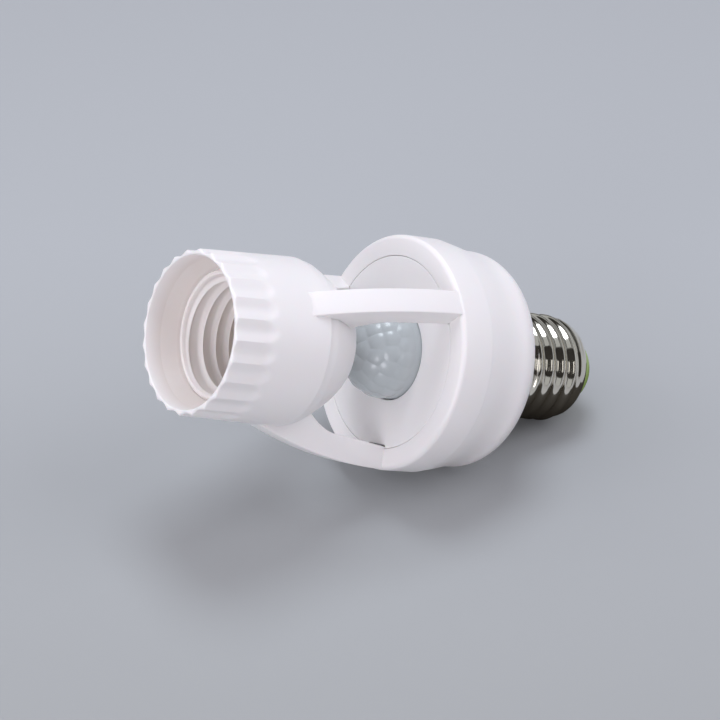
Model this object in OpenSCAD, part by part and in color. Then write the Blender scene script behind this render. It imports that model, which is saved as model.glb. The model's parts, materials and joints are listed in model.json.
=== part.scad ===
// Lamp holder with a built-in motion sensor, millimetres.
// It stands on the rim of its lamp socket: z = 0 is the rim, +Z runs along the axis to the screw cap.

/* [Lamp socket] */
// Outer radius of the socket sleeve at its rim
rim_r = 18.9; // [18.4:0.1:19.3]
// Outer radius of the socket sleeve at its rear end
sleeve_r = 19.6; // [19.4:0.1:20.4]
// Length of the socket sleeve
sleeve_l = 25.6; // [24:0.1:28]
// Rounding of the sleeve's outer edges
sleeve_edge = 0.5; // [0.2:0.1:0.8]
// Radius of the tapered mouth at the rim
mouth_r = 17.3; // [16.6:0.1:17.6]
// Number of grip flutes round the rim
flute_count = 24; // [16:1:24]
// Depth of a grip flute
flute_depth = 0.55; // [0.3:0.05:0.8]
// Radius of the round section that cuts a flute
flute_section_r = 2.6; // [2.2:0.1:2.7]
// Length of a grip flute
flute_l = 11.5; // [8:0.5:14]

/* [Thread insert] */
// Distance from the rim to the front face of the thread insert
insert_z = 7.7; // [6:0.1:9]
// Outer radius of the thread insert
insert_r = 15.2; // [14.8:0.1:15.6]
// How far the thread insert stands out behind the sleeve
insert_tail_l = 5.4; // [4.8:0.1:6]
// Radius of the insert's rear collar
insert_collar_r = 16.7; // [16.2:0.1:17]
// Thickness of the insert's rear collar
insert_collar_t = 1.6; // [1:0.1:2.2]
// Pitch of the lamp threads
thread_pitch = 3.629; // [3.5:0.001:3.8]
// Smallest radius of the socket thread, at its crests
socket_crest_r = 12.35; // [12.2:0.05:12.6]
// Largest radius of the socket thread, at its roots
socket_root_r = 13.6; // [13.3:0.05:13.8]
// Threaded length in the insert
socket_thread_l = 16; // [13:0.5:18]
// Width of the chamfer at the insert's mouth
insert_chamfer = 0.5; // [0.2:0.1:0.8]

/* [Socket back] */
// Outer radius of the back cap's straight band
back_r = 19.2; // [18.8:0.1:19.5]
// Length of the straight band
back_band_l = 2.7; // [1.5:0.1:4]
// How far the back cap's rounding reaches inwards
back_round_w = 8; // [6:0.2:9]
// Height of the back cap's rounding
back_round_h = 9.4; // [8.6:0.1:11]
// Wall of the back cap
back_wall = 1.8; // [1.4:0.1:2]
// Radius of the contact base
base_r = 14; // [13.6:0.1:14.4]
// Thickness of the contact base
base_t = 3; // [2.6:0.1:3.4]

/* [Lamp contacts] */
// Thickness of the contact strips
strip_t = 0.4; // [0.3:0.05:0.5]
// Width of the centre contact's leaf
leaf_w = 5; // [4:0.2:6]
// Distance of the centre contact's rivet from the axis
leaf_root_u = 7; // [6:0.2:7.6]
// Drop of the leaf's pad below its root
leaf_drop = 1.5; // [1.2:0.1:2]
// Width of the side contact's strip
side_w = 4; // [3:0.2:4.6]
// Distance of the side contact's rivet from the axis
side_root_u = 9; // [8.4:0.1:9.4]
// Distance of the side contact's upright from the axis
side_upright_u = 11.8; // [11.5:0.1:12]
// Height of the side contact's upright
side_upright_l = 5.5; // [5:0.1:6.2]
// Radius of a contact rivet's shank
rivet_r = 1.1; // [0.9:0.05:1.3]
// Radius of a contact rivet's head
rivet_head_r = 1.9; // [1.7:0.1:2.1]
// Thickness of a contact rivet's head
rivet_head_t = 0.6; // [0.5:0.1:0.8]
// Free space on each side of a contact strip's root
strip_play = 0.3; // [0.28:0.01:0.35]

/* [Arms] */
// Number of arms between the socket and the sensor body
arm_count = 3;
// Width of an arm, measured round the axis
arm_w = 6; // [5:0.1:8]
// Length over which an arm runs out along the sleeve
arm_tip_l = 5.1; // [3.6:0.1:7]
// How far an arm stands in from the sensor plate's edge
arm_root_in = 0.45; // [0.1:0.05:0.9]
// Length of an arm's straight inner edge, up to its flare
arm_straight_l = 10.4; // [8:0.2:13]
// How far an arm's inner edge leans inwards over that length
arm_lean = 1.75; // [1.3:0.05:2.2]
// Radius where the flare meets the back cap
arm_toe_r = 16.3; // [15.8:0.1:16.8]

/* [Sensor body] */
// Length of the open window between the back cap and the sensor body
window_l = 19.5; // [17:0.1:24]
// Radius of the front ring
ring_r = 28; // [27.6:0.1:30]
// Length of the front ring's side
ring_l = 8.8; // [8.2:0.1:10]
// Rounding of the front ring's edge
ring_edge = 1.2; // [0.6:0.1:1.6]
// Thickness of the front ring's face
ring_face_t = 3.2; // [3:0.1:3.6]
// Wall of the front ring's side
ring_wall = 2.1; // [1.8:0.1:2.3]
// How far the body behind the ring steps in from the ring's side
body_step = 2; // [1.4:0.1:2.6]
// Length over which the ring blends into the body
blend_l = 11; // [8:0.5:12]
// Length of the body behind the ring, up to its rounded edge
body_l = 12; // [12:0.1:14]
// Radius of the body's rounded back edge
body_round_r = 4.5; // [3.5:0.1:5]
// Slope of the body's back, in degrees
back_slope = 33; // [28:1:38]
// Wall of the lower housing
body_wall = 2; // [1.6:0.1:2.3]
// Depth of the lower housing's lip inside the ring
lip_l = 3; // [2:0.1:3.4]
// Radius of the neck under the screw cap
neck_r = 14.4; // [14:0.1:15]
// Length of the neck
neck_l = 1.5; // [1:0.1:2.5]

/* [Sensor window] */
// Width of the ring's face round the sensor plate
ring_face_w = 5.1; // [4.6:0.1:5.4]
// Thickness of the sensor plate
plate_t = 1.6; // [1.4:0.1:1.8]
// Depth of the plate's dish round the lens
plate_dish = 1; // [0.6:0.1:1.4]
// Width of the ledge that carries the plate
ledge_w = 1.3; // [1:0.1:1.6]
// Outer radius of the lens dome
lens_r = 11.3; // [10.8:0.1:11.6]
// Wall of the lens
lens_wall = 0.7; // [0.5:0.1:1]
// Width of the lens flange
lens_flange_w = 1.9; // [1.6:0.1:2.2]
// Thickness of the lens flange
lens_flange_t = 0.75; // [0.6:0.05:0.9]
// Width of the plate's collar round the lens flange
collar_w = 1.8; // [1.4:0.1:2.2]
// Thickness of the lens retainer
retainer_t = 1.3; // [1:0.1:1.6]

/* [Electronics] */
// Thickness of the sensor board
sensor_board_t = 1.2; // [1:0.1:1.6]
// Gap between the lens retainer and the sensor board
sensor_board_gap = 1.6; // [1.4:0.1:2]
// Thickness of the power board
power_board_t = 1.6; // [1.2:0.1:1.6]
// Gap between the two boards
board_gap = 4.6; // [4.2:0.1:5]
// Radius of the motion sensor's can
pir_r = 4.6; // [4.2:0.1:5]
// Height of the motion sensor's can
pir_h = 4.2; // [3.8:0.1:4.4]
// Radius of the light sensor
photocell_r = 1.9; // [1.5:0.1:2.1]
// Size of the sensor board's chip
chip_size = [10, 4, 1.6];
// Size of the relay
relay_size = [18, 10.2, 12.5];
// Size of the film capacitor
film_size = [13, 5, 11];
// Radius of the filter capacitor
filter_r = 4; // [3.5:0.1:4.2]
// Height of the filter capacitor
filter_h = 12; // [10:0.5:12.4]
// Radius of the varistor's disc
varistor_r = 3.5; // [3:0.1:3.7]
// Thickness of the varistor's disc
varistor_t = 3; // [2.4:0.1:3.4]

/* [Fasteners and leads] */
// Number of housing screws
boss_count = 3;
// Distance of the housing screws from the ring's side
boss_in = 8.4; // [8.2:0.1:8.8]
// Radius of a housing boss beside the power board
boss_r = 3.3; // [3:0.1:3.4]
// Radius of a housing boss beside the sensor board
boss_tip_r = 2.4; // [2.2:0.1:2.6]
// Radius of a housing boss below the power board
boss_foot_r = 4; // [3.8:0.1:4.1]
// Radius of a housing screw's shank
screw_r = 1.1; // [0.9:0.05:1.2]
// Radius of a housing screw's head
screw_head_r = 2.2; // [2:0.1:2.3]
// Thickness of a housing screw's head
screw_head_t = 0.8; // [0.6:0.1:0.9]
// Length of a housing screw's shank
screw_l = 12; // [8:0.5:13]
// Thickness of a screw lug in the ring
lug_t = 2; // [1.6:0.1:2.2]
// Distance of the base screws from the axis
base_screw_u = 9.5; // [9:0.1:10]
// Radius of an insulated lead
lead_r = 0.8; // [0.6:0.05:0.85]
// Radius of the channel for a lead
channel_r = 1.1; // [1:0.05:1.2]

/* [Screw cap] */
// Largest radius of the cap thread, at its crests
cap_crest_r = 13.1; // [12.9:0.05:13.2]
// Smallest radius of the cap thread, at its roots
cap_root_r = 12.15; // [12:0.05:12.3]
// Inner radius of the cap shell
cap_inner_r = 11.5; // [11.3:0.05:11.6]
// Length of the cap shell
cap_shell_l = 22; // [20:0.1:24]
// Length of the plain collar at the shell's open end
cap_collar_l = 2.6; // [2:0.1:4]
// Radius of the shell's rolled-in end
cap_end_r = 10.5; // [10.2:0.1:10.8]
// Length over which the shell's end is rolled in
cap_end_l = 2.4; // [2:0.1:3]
// Height of the insulator beyond the shell
insulator_h = 4.4; // [4:0.1:5]
// Radius of the centre contact
tip_r = 4.8; // [4.2:0.1:5.2]
// Thickness of the centre contact
tip_t = 0.8; // [0.6:0.1:1.2]
// Length of the neck's spigot inside the shell
spigot_l = 16; // [12:0.5:17]
// Wall of the spigot
spigot_wall = 1.6; // [1.2:0.1:2]

/* [Hidden] */
// Gap at a glued or pressed joint, on each side
fit = 0.1;
// Hairline between two mouldings
seam = 0.12;
// How far a cutter runs past the face it cuts
past = 1;
// Facets of a round part in the preview
$fn = 72;
// Sides of a threaded part
thread_sides = 36;
// Rings for each turn of a thread
thread_steps = 6;
// Length over which a thread fades at its ends
thread_fade = 1.8;
// Points along a curved edge
curve_steps = 10;

// Arms stand every third of a turn, one of them at 90 degrees
first_arm = 90;
arm_step = 360 / arm_count;
live_arm = first_arm + arm_step;
neutral_arm = first_arm + 2 * arm_step;
first_boss = first_arm + arm_step / 2;

// Heights in the socket
insert_end = sleeve_l + insert_tail_l;
base_back = insert_end + base_t;
back_round_z = sleeve_l + back_band_l;
back_z = back_round_z + back_round_h;
back_inner_z = back_z - back_wall;
back_round_r = back_r - back_round_w;
body_z = back_z + window_l;

// Heights in the sensor body, and the radii of its sloped back
body_r = ring_r - body_step;
ring_end = body_z + ring_l;
ledge_z = body_z + plate_t + fit;
ring_face_end = body_z + ring_face_t;
lens_z = body_z + plate_dish - 1.2;
lens_flange_z = body_z + plate_dish + plate_t;
retainer_z = lens_flange_z + lens_flange_t;
sensor_board_z = retainer_z + retainer_t + sensor_board_gap;
sensor_board_end = sensor_board_z + sensor_board_t;
power_board_z = sensor_board_end + board_gap;
power_board_end = power_board_z + power_board_t;
round_z = ring_end + body_l;
slope_turn = 90 - back_slope;
slope_r = body_r - body_round_r + body_round_r * cos(slope_turn);
slope_z = round_z + body_round_r * sin(slope_turn);
neck_z = slope_z + (slope_r - neck_r) * tan(back_slope);
lug_end = ring_face_end + lug_t;

// Radii in the sensor body
plate_r = ring_r - ring_face_w;
boss_u = ring_r - boss_in;
lead_u = ring_r - 5.8;
ring_bore = plate_r + seam;
ledge_r = ring_bore - ledge_w - fit;
skirt_r = ring_r - ring_wall;
lip_r = skirt_r - fit;
lens_flange_r = lens_r + lens_flange_w;
collar_r = lens_flange_r + fit;
sensor_board_r = lip_r - body_wall - 0.4;
power_board_r = lip_r - body_wall - 0.2;

// Heights on the screw cap
cap_z = neck_z + neck_l;
cap_thread_z = cap_z + cap_collar_l;
cap_end_z = cap_z + cap_shell_l;
cap_thread_end = cap_end_z - cap_end_l;
insulator_z = cap_end_z - 3;
insulator_end = cap_end_z + insulator_h;
tip_end = insulator_end + tip_t;
spigot_end = cap_z + spigot_l;
spigot_r = cap_inner_r - fit;
spigot_bore = spigot_r - spigot_wall;
insulator_r = cap_end_r - fit;
stem_r = 1.2;

// Points of an arm's inner edge
arm_root_r = plate_r - arm_root_in;
arm_flare_r = arm_root_r - arm_lean;
arm_flare_z = body_z - arm_straight_l;
arm_tip_z = sleeve_l - arm_tip_l;

// An arm's outer edge is one arc, tangent to the ring's side and ending on the sleeve
arm_reach_r = ring_r - 0.1;
arm_reach_z = body_z + ring_face_t + 0.6;
arm_tip_r = sleeve_r - 0.15;
arm_rise = arm_reach_z - arm_tip_z;
arm_gain = arm_reach_r - arm_tip_r;
arm_arc_r = (arm_rise * arm_rise + arm_gain * arm_gain) / (2 * arm_gain);

shell_white = [0.90, 0.89, 0.91];
insert_white = [0.93, 0.92, 0.91];
brass_gold = [0.80, 0.66, 0.36];
board_green = [0.10, 0.35, 0.22];

// Points of an arc about a centre [radius, height], from one turn to another
function arc(centre, w, h, from, to, steps = curve_steps) =
    [for (i = [0 : steps]) let (a = from + (to - from) * i / steps) centre + [w * cos(a), h * sin(a)]];

// Points of a curve that leaves p towards q and arrives at s from q
function bend(p, q, s, steps = curve_steps) =
    [for (i = [0 : steps]) let (t = i / steps) p * pow(1 - t, 2) + q * 2 * t * (1 - t) + s * t * t];

// Radius of a rounded screw thread at a height and a turn, fading at both ends
function thread_r(z, turn, low, high, z0, z1) =
    let (
        mean = (low + high) / 2,
        wave = cos(360 * (z / thread_pitch) - turn),
        fade = max(0, min(1, (z - z0) / thread_fade, (z1 - z) / thread_fade))
    )
    mean + (high - low) / 2 * (wave * fade - (1 - fade));

// Heights of the rings along a thread
function thread_rings(z0, z1) =
    let (count = ceil((z1 - z0) / thread_pitch * thread_steps))
    [for (i = [0 : count]) z0 + (z1 - z0) * i / count];

// A closed body from one outline for each turn, all outlines with as many points
module turned_body(outlines) {
    rows = len(outlines);
    cols = len(outlines[0]);
    points = [
        for (i = [0 : rows - 1], p = outlines[i])
            [p.x * cos(360 * i / rows), p.x * sin(360 * i / rows), p.y]
    ];
    faces = [
        for (i = [0 : rows - 1], j = [0 : cols - 1])
            let (a = i * cols, b = ((i + 1) % rows) * cols, k = (j + 1) % cols)
            each [[a + j, a + k, b + j], [a + k, b + k, b + j]]
    ];
    polyhedron(points = points, faces = faces, convexity = 8);
}

// A round rod in the XZ plane, from one point [u, z] to another, longer by some over at both ends
module rod(p, q, r, over) {
    d = q - p;
    translate([p.x, 0, p.y])
        rotate([0, atan2(d.x, d.y), 0])
            translate([0, 0, -over]) cylinder(h = norm(d) + 2 * over, r = r, $fn = 24);
}

// A round lead in the XZ plane, swept along a row of points [u, z] with mitred bends
module lead(path, r, sides = 10) {
    last = len(path) - 1;
    function way(i) = (path[i + 1] - path[i]) / norm(path[i + 1] - path[i]);
    points = [
        for (i = [0 : last])
            let (
                before = way(max(i - 1, 0)),
                after = way(min(i, last - 1)),
                middle = (before + after) / norm(before + after),
                across = [middle.y, -middle.x] * r / (before * middle)
            )
            for (k = [0 : sides - 1])
                let (turn = 360 * k / sides, c = path[i] + across * cos(turn))
                [c.x, r * sin(turn), c.y]
    ];
    walls = [
        for (i = [0 : last - 1], k = [0 : sides - 1])
            let (a = i * sides + k, b = i * sides + (k + 1) % sides)
            each [[a, b, a + sides], [b, b + sides, a + sides]]
    ];
    ends = [
        [for (k = [sides - 1 : -1 : 0]) k],
        [for (k = [0 : sides - 1]) last * sides + k]
    ];
    polyhedron(points = points, faces = concat(walls, ends), convexity = 6);
}

// The way that a lead needs through a wall: one drilled hole for each stretch of its path
module channel(path) {
    for (i = [0 : len(path) - 2]) rod(path[i], path[i + 1], channel_r, channel_r / 2);
}

module at_arms() {
    for (i = [0 : arm_count - 1]) rotate([0, 0, first_arm + arm_step * i]) children();
}

module at_bosses() {
    for (i = [0 : boss_count - 1])
        rotate([0, 0, first_boss + 360 / boss_count * i]) translate([boss_u, 0, 0]) children();
}

module at_base_screws() {
    for (side = [-1, 1]) translate([0, side * base_screw_u, 0]) children();
}

// Outline of the back cap as it stands, grown by a margin
function back_outline(grow) = concat(
    [[0, sleeve_l - past], [back_r + grow, sleeve_l - past]],
    arc([back_round_r, back_round_z], back_round_w + grow, back_round_h + grow, 0, 90),
    [[0, back_z + grow]]
);

// Way of a lead through an arm, from the power board to the back of the contact base
function arm_lead_path(end_u) = [
    [lead_u, power_board_z],
    [lead_u, ring_face_end + 1.2],
    [arm_root_r + 2.6, body_z],
    [arm_flare_r + 1.5, arm_flare_z - 6.8],
    [arm_toe_r + 4.2, back_round_z + 7],
    [arm_toe_r + 0.9, back_round_z + 4.8],
    [base_r + 0.95, base_back - 0.6],
    [base_r - 1, base_back + lead_r + 0.15],
    [end_u, base_back + lead_r + 0.15]
];

live_end_u = leaf_root_u + rivet_head_r;
neutral_end_u = side_root_u + rivet_head_r;

module arm_channels() {
    rotate([0, 0, live_arm]) channel(arm_lead_path(live_end_u));
    rotate([0, 0, neutral_arm]) channel(arm_lead_path(neutral_end_u));
}

module sleeve() {
    rotate_extrude()
        polygon(concat(
            arc([rim_r - sleeve_edge, sleeve_edge], sleeve_edge, sleeve_edge, -90, 0, 4),
            arc([sleeve_r - sleeve_edge, sleeve_l - sleeve_edge], sleeve_edge, sleeve_edge, 0, 90, 4),
            [[insert_r + fit, sleeve_l], [insert_r + fit, insert_z], [mouth_r, 0]]
        ));
}

// Flutes are cut by a rod with a round end, set just outside the sleeve
module grip_flutes() {
    cut_u = rim_r + flute_section_r - flute_depth;
    end_l = sqrt(pow(flute_section_r, 2) - pow(flute_section_r - flute_depth, 2));
    cutter = concat(
        [[0, -past]],
        arc([0, flute_l - end_l], flute_section_r, flute_section_r, 90, 0, 3)
    );
    for (i = [0 : flute_count - 1])
        rotate([0, 0, 360 / flute_count * i])
            translate([cut_u, 0, 0])
                rotate_extrude($fn = 48) polygon(concat(cutter, [[flute_section_r, -past]]));
}

module arm() {
    outer = [
        for (i = [0 : curve_steps])
            let (z = arm_tip_z + arm_rise * i / curve_steps, h = arm_reach_z - z)
            [arm_reach_r - arm_arc_r + sqrt(arm_arc_r * arm_arc_r - h * h), z]
    ];
    toe = [arm_toe_r, back_z - 2];
    flare = bend([arm_flare_r, arm_flare_z], [arm_flare_r - 0.4, back_z + 3.6], toe, 6);
    rotate([90, 0, 0])
        translate([0, 0, -arm_w / 2])
            linear_extrude(arm_w)
                polygon(concat(
                    outer,
                    [[ring_bore + 0.5, arm_reach_z], [ring_bore + 0.5, ledge_z], [arm_root_r, ledge_z - fit]],
                    [[arm_root_r, body_z]],
                    flare,
                    [[arm_toe_r, arm_tip_z + 2]]
                ));
}

module front_ring() {
    rotate_extrude()
        polygon(concat(
            [[ring_bore, body_z]],
            arc([ring_r - ring_edge, body_z + ring_edge], ring_edge, ring_edge, -90, 0, 6),
            [[ring_r, ring_end], [skirt_r, ring_end], [skirt_r, ring_face_end], [ledge_r, ring_face_end]],
            [[ledge_r, ledge_z], [ring_bore, ledge_z]]
        ));
    at_bosses() {
        translate([0, 0, ring_face_end - 0.01]) cylinder(h = lug_t + 0.01, r = boss_r);
        translate([0, -boss_r, ring_face_end - 0.01]) cube([skirt_r - boss_u - 1, 2 * boss_r, lug_t + 0.01]);
    }
}

module upper_housing() {
    color(shell_white)
        difference() {
            union() {
                difference() {
                    sleeve();
                    grip_flutes();
                }
                difference() {
                    at_arms() arm();
                    rotate_extrude() polygon(back_outline(seam));
                    cylinder(h = sleeve_l + fit, r = insert_r + fit + 1);
                }
                front_ring();
            }
            arm_channels();
            at_bosses() {
                translate([0, 0, body_z]) cylinder(h = lug_end - body_z + past, r = screw_r + 0.2);
                translate([0, 0, ledge_z - past]) cylinder(h = ring_face_end - ledge_z + past, r = screw_head_r + 0.2);
            }
        }
}

module back_cap() {
    inner_r = back_r - back_wall;
    color(shell_white)
        difference() {
            union() {
                rotate_extrude()
                    polygon(concat(
                        [[inner_r, sleeve_l], [back_r, sleeve_l]],
                        arc([back_round_r, back_round_z], back_round_w, back_round_h, 0, 90),
                        [[0, back_z], [0, back_inner_z]],
                        arc([back_round_r, back_round_z], back_round_w - back_wall, back_round_h - back_wall, 90, 0)
                    ));
                at_base_screws() translate([0, 0, base_back]) cylinder(h = back_inner_z - base_back + 0.5, r = 2.4);
            }
            arm_channels();
            at_base_screws() translate([0, 0, base_back - past]) cylinder(h = past + 2.6, r = 0.8);
        }
}

module thread_insert() {
    z0 = insert_z + insert_chamfer;
    z1 = z0 + socket_thread_l;
    rings = thread_rings(z0, z1);
    outer = [
        [insert_r - insert_chamfer, insert_z], [insert_r, z0], [insert_r, sleeve_l],
        [insert_collar_r, sleeve_l], [insert_collar_r, sleeve_l + insert_collar_t],
        [insert_r, sleeve_l + insert_collar_t], [insert_r, insert_end]
    ];
    color(insert_white)
        turned_body([
            for (i = [0 : thread_sides - 1])
                let (turn = 360 * i / thread_sides)
                concat(
                    outer,
                    [[socket_root_r - 0.4, insert_end], [socket_root_r - 0.4, z1 + insert_chamfer]],
                    [for (j = [len(rings) - 1 : -1 : 0])
                        [thread_r(rings[j], turn, socket_root_r, socket_crest_r, z0, z1), rings[j]]],
                    [[socket_root_r + insert_chamfer / 2, insert_z]]
                )
        ]);
}

module contact_base() {
    color("ivory")
        difference() {
            translate([0, 0, insert_end]) cylinder(h = base_t, r = base_r);
            rotate([0, 0, live_arm]) translate([leaf_root_u, 0, 0]) rivet_hole();
            rotate([0, 0, neutral_arm]) translate([side_root_u, 0, 0]) rivet_hole();
            at_base_screws() translate([0, 0, insert_end - past]) cylinder(h = base_t + 2 * past, r = 1.2);
            arm_channels();
        }
}

module rivet_hole() {
    translate([0, 0, insert_end - past]) cylinder(h = base_t + 2 * past, r = rivet_r + fit / 2);
}

strip_z = insert_end - strip_play - strip_t;

module rivet() {
    head_z = strip_z - strip_play - rivet_head_t;
    color("silver") {
        translate([0, 0, head_z]) cylinder(h = rivet_head_t, r = rivet_head_r);
        translate([0, 0, head_z]) cylinder(h = base_back - head_z + 0.01, r = rivet_r);
        translate([0, 0, base_back]) cylinder(h = rivet_head_t, r = rivet_head_r);
    }
}

module centre_rivet() {
    rotate([0, 0, live_arm]) translate([leaf_root_u, 0, 0]) rivet();
}

module side_rivet() {
    rotate([0, 0, neutral_arm]) translate([side_root_u, 0, 0]) rivet();
}

// The centre contact: a leaf riveted at its root, with a raised pad on the axis
module centre_contact() {
    tail = leaf_root_u + rivet_head_r - 0.2;
    knee = leaf_root_u - rivet_head_r - 0.4;
    pad_z = strip_z - leaf_drop;
    pad_u = 2.2;
    color(brass_gold)
        rotate([0, 0, live_arm]) {
            difference() {
                rotate([90, 0, 0])
                    translate([0, 0, -leaf_w / 2])
                        linear_extrude(leaf_w)
                            polygon([
                                [tail, strip_z], [tail, strip_z + strip_t], [knee, strip_z + strip_t],
                                [pad_u, pad_z + strip_t], [-pad_u, pad_z + strip_t],
                                [-pad_u, pad_z], [pad_u, pad_z], [knee, strip_z]
                            ]);
                translate([leaf_root_u, 0, strip_z - past]) cylinder(h = strip_t + 2 * past, r = rivet_r + strip_play);
            }
            translate([0, 0, pad_z - 0.4]) cylinder(h = 0.41, r1 = 1.1, r2 = 1.7);
        }
}

// The side contact: a riveted foot, an upright along the wall and a tip that leans inwards
module side_contact() {
    foot = side_root_u - rivet_head_r + 0.1;
    top_z = strip_z - side_upright_l;
    upright = side_upright_u + strip_t;
    tip_lean = 0.9;
    tip_l = 1.3;
    color(brass_gold)
        rotate([0, 0, neutral_arm])
            difference() {
                rotate([90, 0, 0])
                    translate([0, 0, -side_w / 2])
                        linear_extrude(side_w)
                            polygon([
                                [foot, strip_z], [foot, strip_z + strip_t], [upright, strip_z + strip_t],
                                [upright, top_z], [upright - tip_lean, top_z - tip_l],
                                [side_upright_u - tip_lean, top_z - tip_l],
                                [side_upright_u, top_z], [side_upright_u, strip_z]
                            ]);
                translate([side_root_u, 0, strip_z - past]) cylinder(h = strip_t + 2 * past, r = rivet_r + strip_play);
            }
}

module base_screws() {
    color("silver")
        at_base_screws() {
            translate([0, 0, insert_end - 1]) cylinder(h = 1, r = 2);
            translate([0, 0, insert_end - 1]) cylinder(h = base_t + 3.2, r = 0.8);
        }
}

module live_arm_lead() {
    color("firebrick") rotate([0, 0, live_arm]) lead(arm_lead_path(live_end_u), lead_r);
}

module neutral_arm_lead() {
    color("dimgray") rotate([0, 0, neutral_arm]) lead(arm_lead_path(neutral_end_u), lead_r);
}

module sensor_plate() {
    hole_r = lens_r + 0.15;
    notch_r = arm_root_r - 0.25;
    color(shell_white)
        difference() {
            rotate_extrude()
                polygon([
                    [plate_r, body_z], [plate_r, body_z + plate_t], [ledge_r - fit, body_z + plate_t],
                    [collar_r + collar_w, lens_flange_z], [collar_r + collar_w, retainer_z], [collar_r, retainer_z], [collar_r, lens_flange_z],
                    [hole_r, lens_flange_z], [hole_r, body_z + plate_dish]
                ]);
            at_arms()
                translate([notch_r, -arm_w / 2 - fit, body_z - past])
                    cube([plate_r, arm_w + 2 * fit, plate_t + 2 * past]);
        }
}

module sensor_lens() {
    inner_r = lens_r - lens_wall;
    color([0.78, 0.84, 0.83])
        rotate_extrude()
            polygon(concat(
                arc([0, lens_z], lens_r, lens_r, -90, 0, 16),
                [[lens_r, lens_flange_z], [lens_flange_r, lens_flange_z], [lens_flange_r, retainer_z]],
                [[inner_r, retainer_z]],
                arc([0, lens_z], inner_r, inner_r, 0, -90, 16)
            ));
}

module lens_retainer() {
    color(shell_white)
        rotate_extrude()
            translate([lens_r - lens_wall, retainer_z])
                square([collar_r + collar_w - lens_r + lens_wall, retainer_t]);
}

module motion_sensor() {
    brim = 0.6;
    color("silver") {
        translate([0, 0, sensor_board_z - brim]) cylinder(h = brim, r = pir_r + brim);
        translate([0, 0, sensor_board_z - pir_h]) cylinder(h = pir_h, r = pir_r);
    }
}

module light_sensor() {
    translate([0, pir_r + photocell_r + 1.4, sensor_board_z - 2])
        color("orange") cylinder(h = 2, r = photocell_r);
}

module sensor_board() {
    color(board_green)
        difference() {
            translate([0, 0, sensor_board_z]) cylinder(h = sensor_board_t, r = sensor_board_r);
            at_bosses() translate([0, 0, sensor_board_z - past])
                cylinder(h = sensor_board_t + 2 * past, r = boss_tip_r + fit);
            at_arms() translate([lead_u, 0, sensor_board_z - past])
                cylinder(h = sensor_board_t + 2 * past, r = channel_r + 0.5);
        }
}

module sensor_chip() {
    color("black")
        translate([-chip_size.x / 2, -chip_size.y / 2 - 9, sensor_board_end])
            cube(chip_size);
}

// Header between the two boards: a strip with a row of pins
module board_pins() {
    pin_count = 5;
    pin_step = 2.54;
    pin_w = 0.64;
    strip_w = 2.5;
    translate([-pin_count * pin_step / 2, 9, sensor_board_end]) {
        color("black") cube([pin_count * pin_step, strip_w, board_gap]);
        color(brass_gold)
            for (i = [0 : pin_count - 1])
                translate([pin_step * (i + 0.5) - pin_w / 2, strip_w / 2 - pin_w / 2, 0.5])
                    cube([pin_w, pin_w, board_gap - 1]);
    }
}

module power_board() {
    color(board_green)
        difference() {
            translate([0, 0, power_board_z]) cylinder(h = power_board_t, r = power_board_r);
            at_bosses() translate([0, 0, power_board_z - past])
                cylinder(h = power_board_t + 2 * past, r = boss_r + fit);
        }
}

module relay() {
    color("royalblue")
        translate([-relay_size.x + 3, -relay_size.y / 2, power_board_end]) cube(relay_size);
}

module film_capacitor() {
    color("goldenrod")
        translate([-film_size.x / 2, relay_size.y / 2 + 1.9, power_board_end]) cube(film_size);
}

module filter_capacitor() {
    color("midnightblue")
        translate([4, -relay_size.y / 2 - filter_r - 0.4, power_board_end]) cylinder(h = filter_h, r = filter_r);
}

module varistor() {
    color("royalblue")
        translate([7.8, 2.4 + varistor_t / 2, power_board_end + varistor_r])
            rotate([90, 0, 0]) cylinder(h = varistor_t, r = varistor_r);
}

// Outline of the lower housing's outside or, grown inwards by a wall, its inside
function blend_r(t) = body_r + (ring_r - seam - body_r) * (1 + cos(180 * t)) / 2;
function housing_side(wall) = [
    for (i = [0 : curve_steps]) let (t = i / curve_steps) [blend_r(t) - wall, ring_end + blend_l * t]
];

module housing_boss() {
    foot_top = power_board_end;
    translate([0, 0, foot_top]) cylinder(h = slope_z - foot_top, r = boss_foot_r);
    translate([0, 0, sensor_board_end]) cylinder(h = slope_z - sensor_board_end, r = boss_r);
    translate([0, 0, lug_end]) cylinder(h = slope_z - lug_end, r = boss_tip_r);
}

module lower_housing() {
    centre = [body_r - body_round_r, round_z];
    outer_round = arc(centre, body_round_r, body_round_r, 0, slope_turn, 6);
    inner_w = body_round_r - body_wall;
    inner_round = arc(centre, inner_w, inner_w, slope_turn, 0, 6);
    throat_z = inner_round[0].y + (inner_round[0].x - spigot_bore) * tan(back_slope);
    inner_side = housing_side(body_wall + seam);
    outline = concat(
        housing_side(0),
        outer_round,
        [[neck_r, neck_z], [neck_r, cap_z], [spigot_r, cap_z], [spigot_r, spigot_end]],
        [[spigot_bore, spigot_end], [spigot_bore, throat_z]],
        inner_round,
        [for (i = [curve_steps : -1 : 0]) [min(inner_side[i].x, lip_r - body_wall), inner_side[i].y]],
        [[lip_r - body_wall, ring_end - lip_l], [lip_r, ring_end - lip_l], [lip_r, ring_end]]
    );
    color(shell_white)
        difference() {
            union() {
                rotate_extrude() polygon(outline);
                intersection() {
                    at_bosses() housing_boss();
                    rotate_extrude()
                        polygon(concat(
                            [[0, lug_end], [lip_r - body_wall / 2, lug_end]],
                            [[lip_r - body_wall / 2, ring_end + blend_l / 2]],
                            arc(centre, inner_w + 0.5, inner_w + 0.5, 0, slope_turn, 6),
                            [[spigot_bore, throat_z], [0, throat_z]]
                        ));
                }
            }
            at_bosses() translate([0, 0, lug_end - past]) cylinder(h = screw_l, r = screw_r - 0.2);
        }
}

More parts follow.
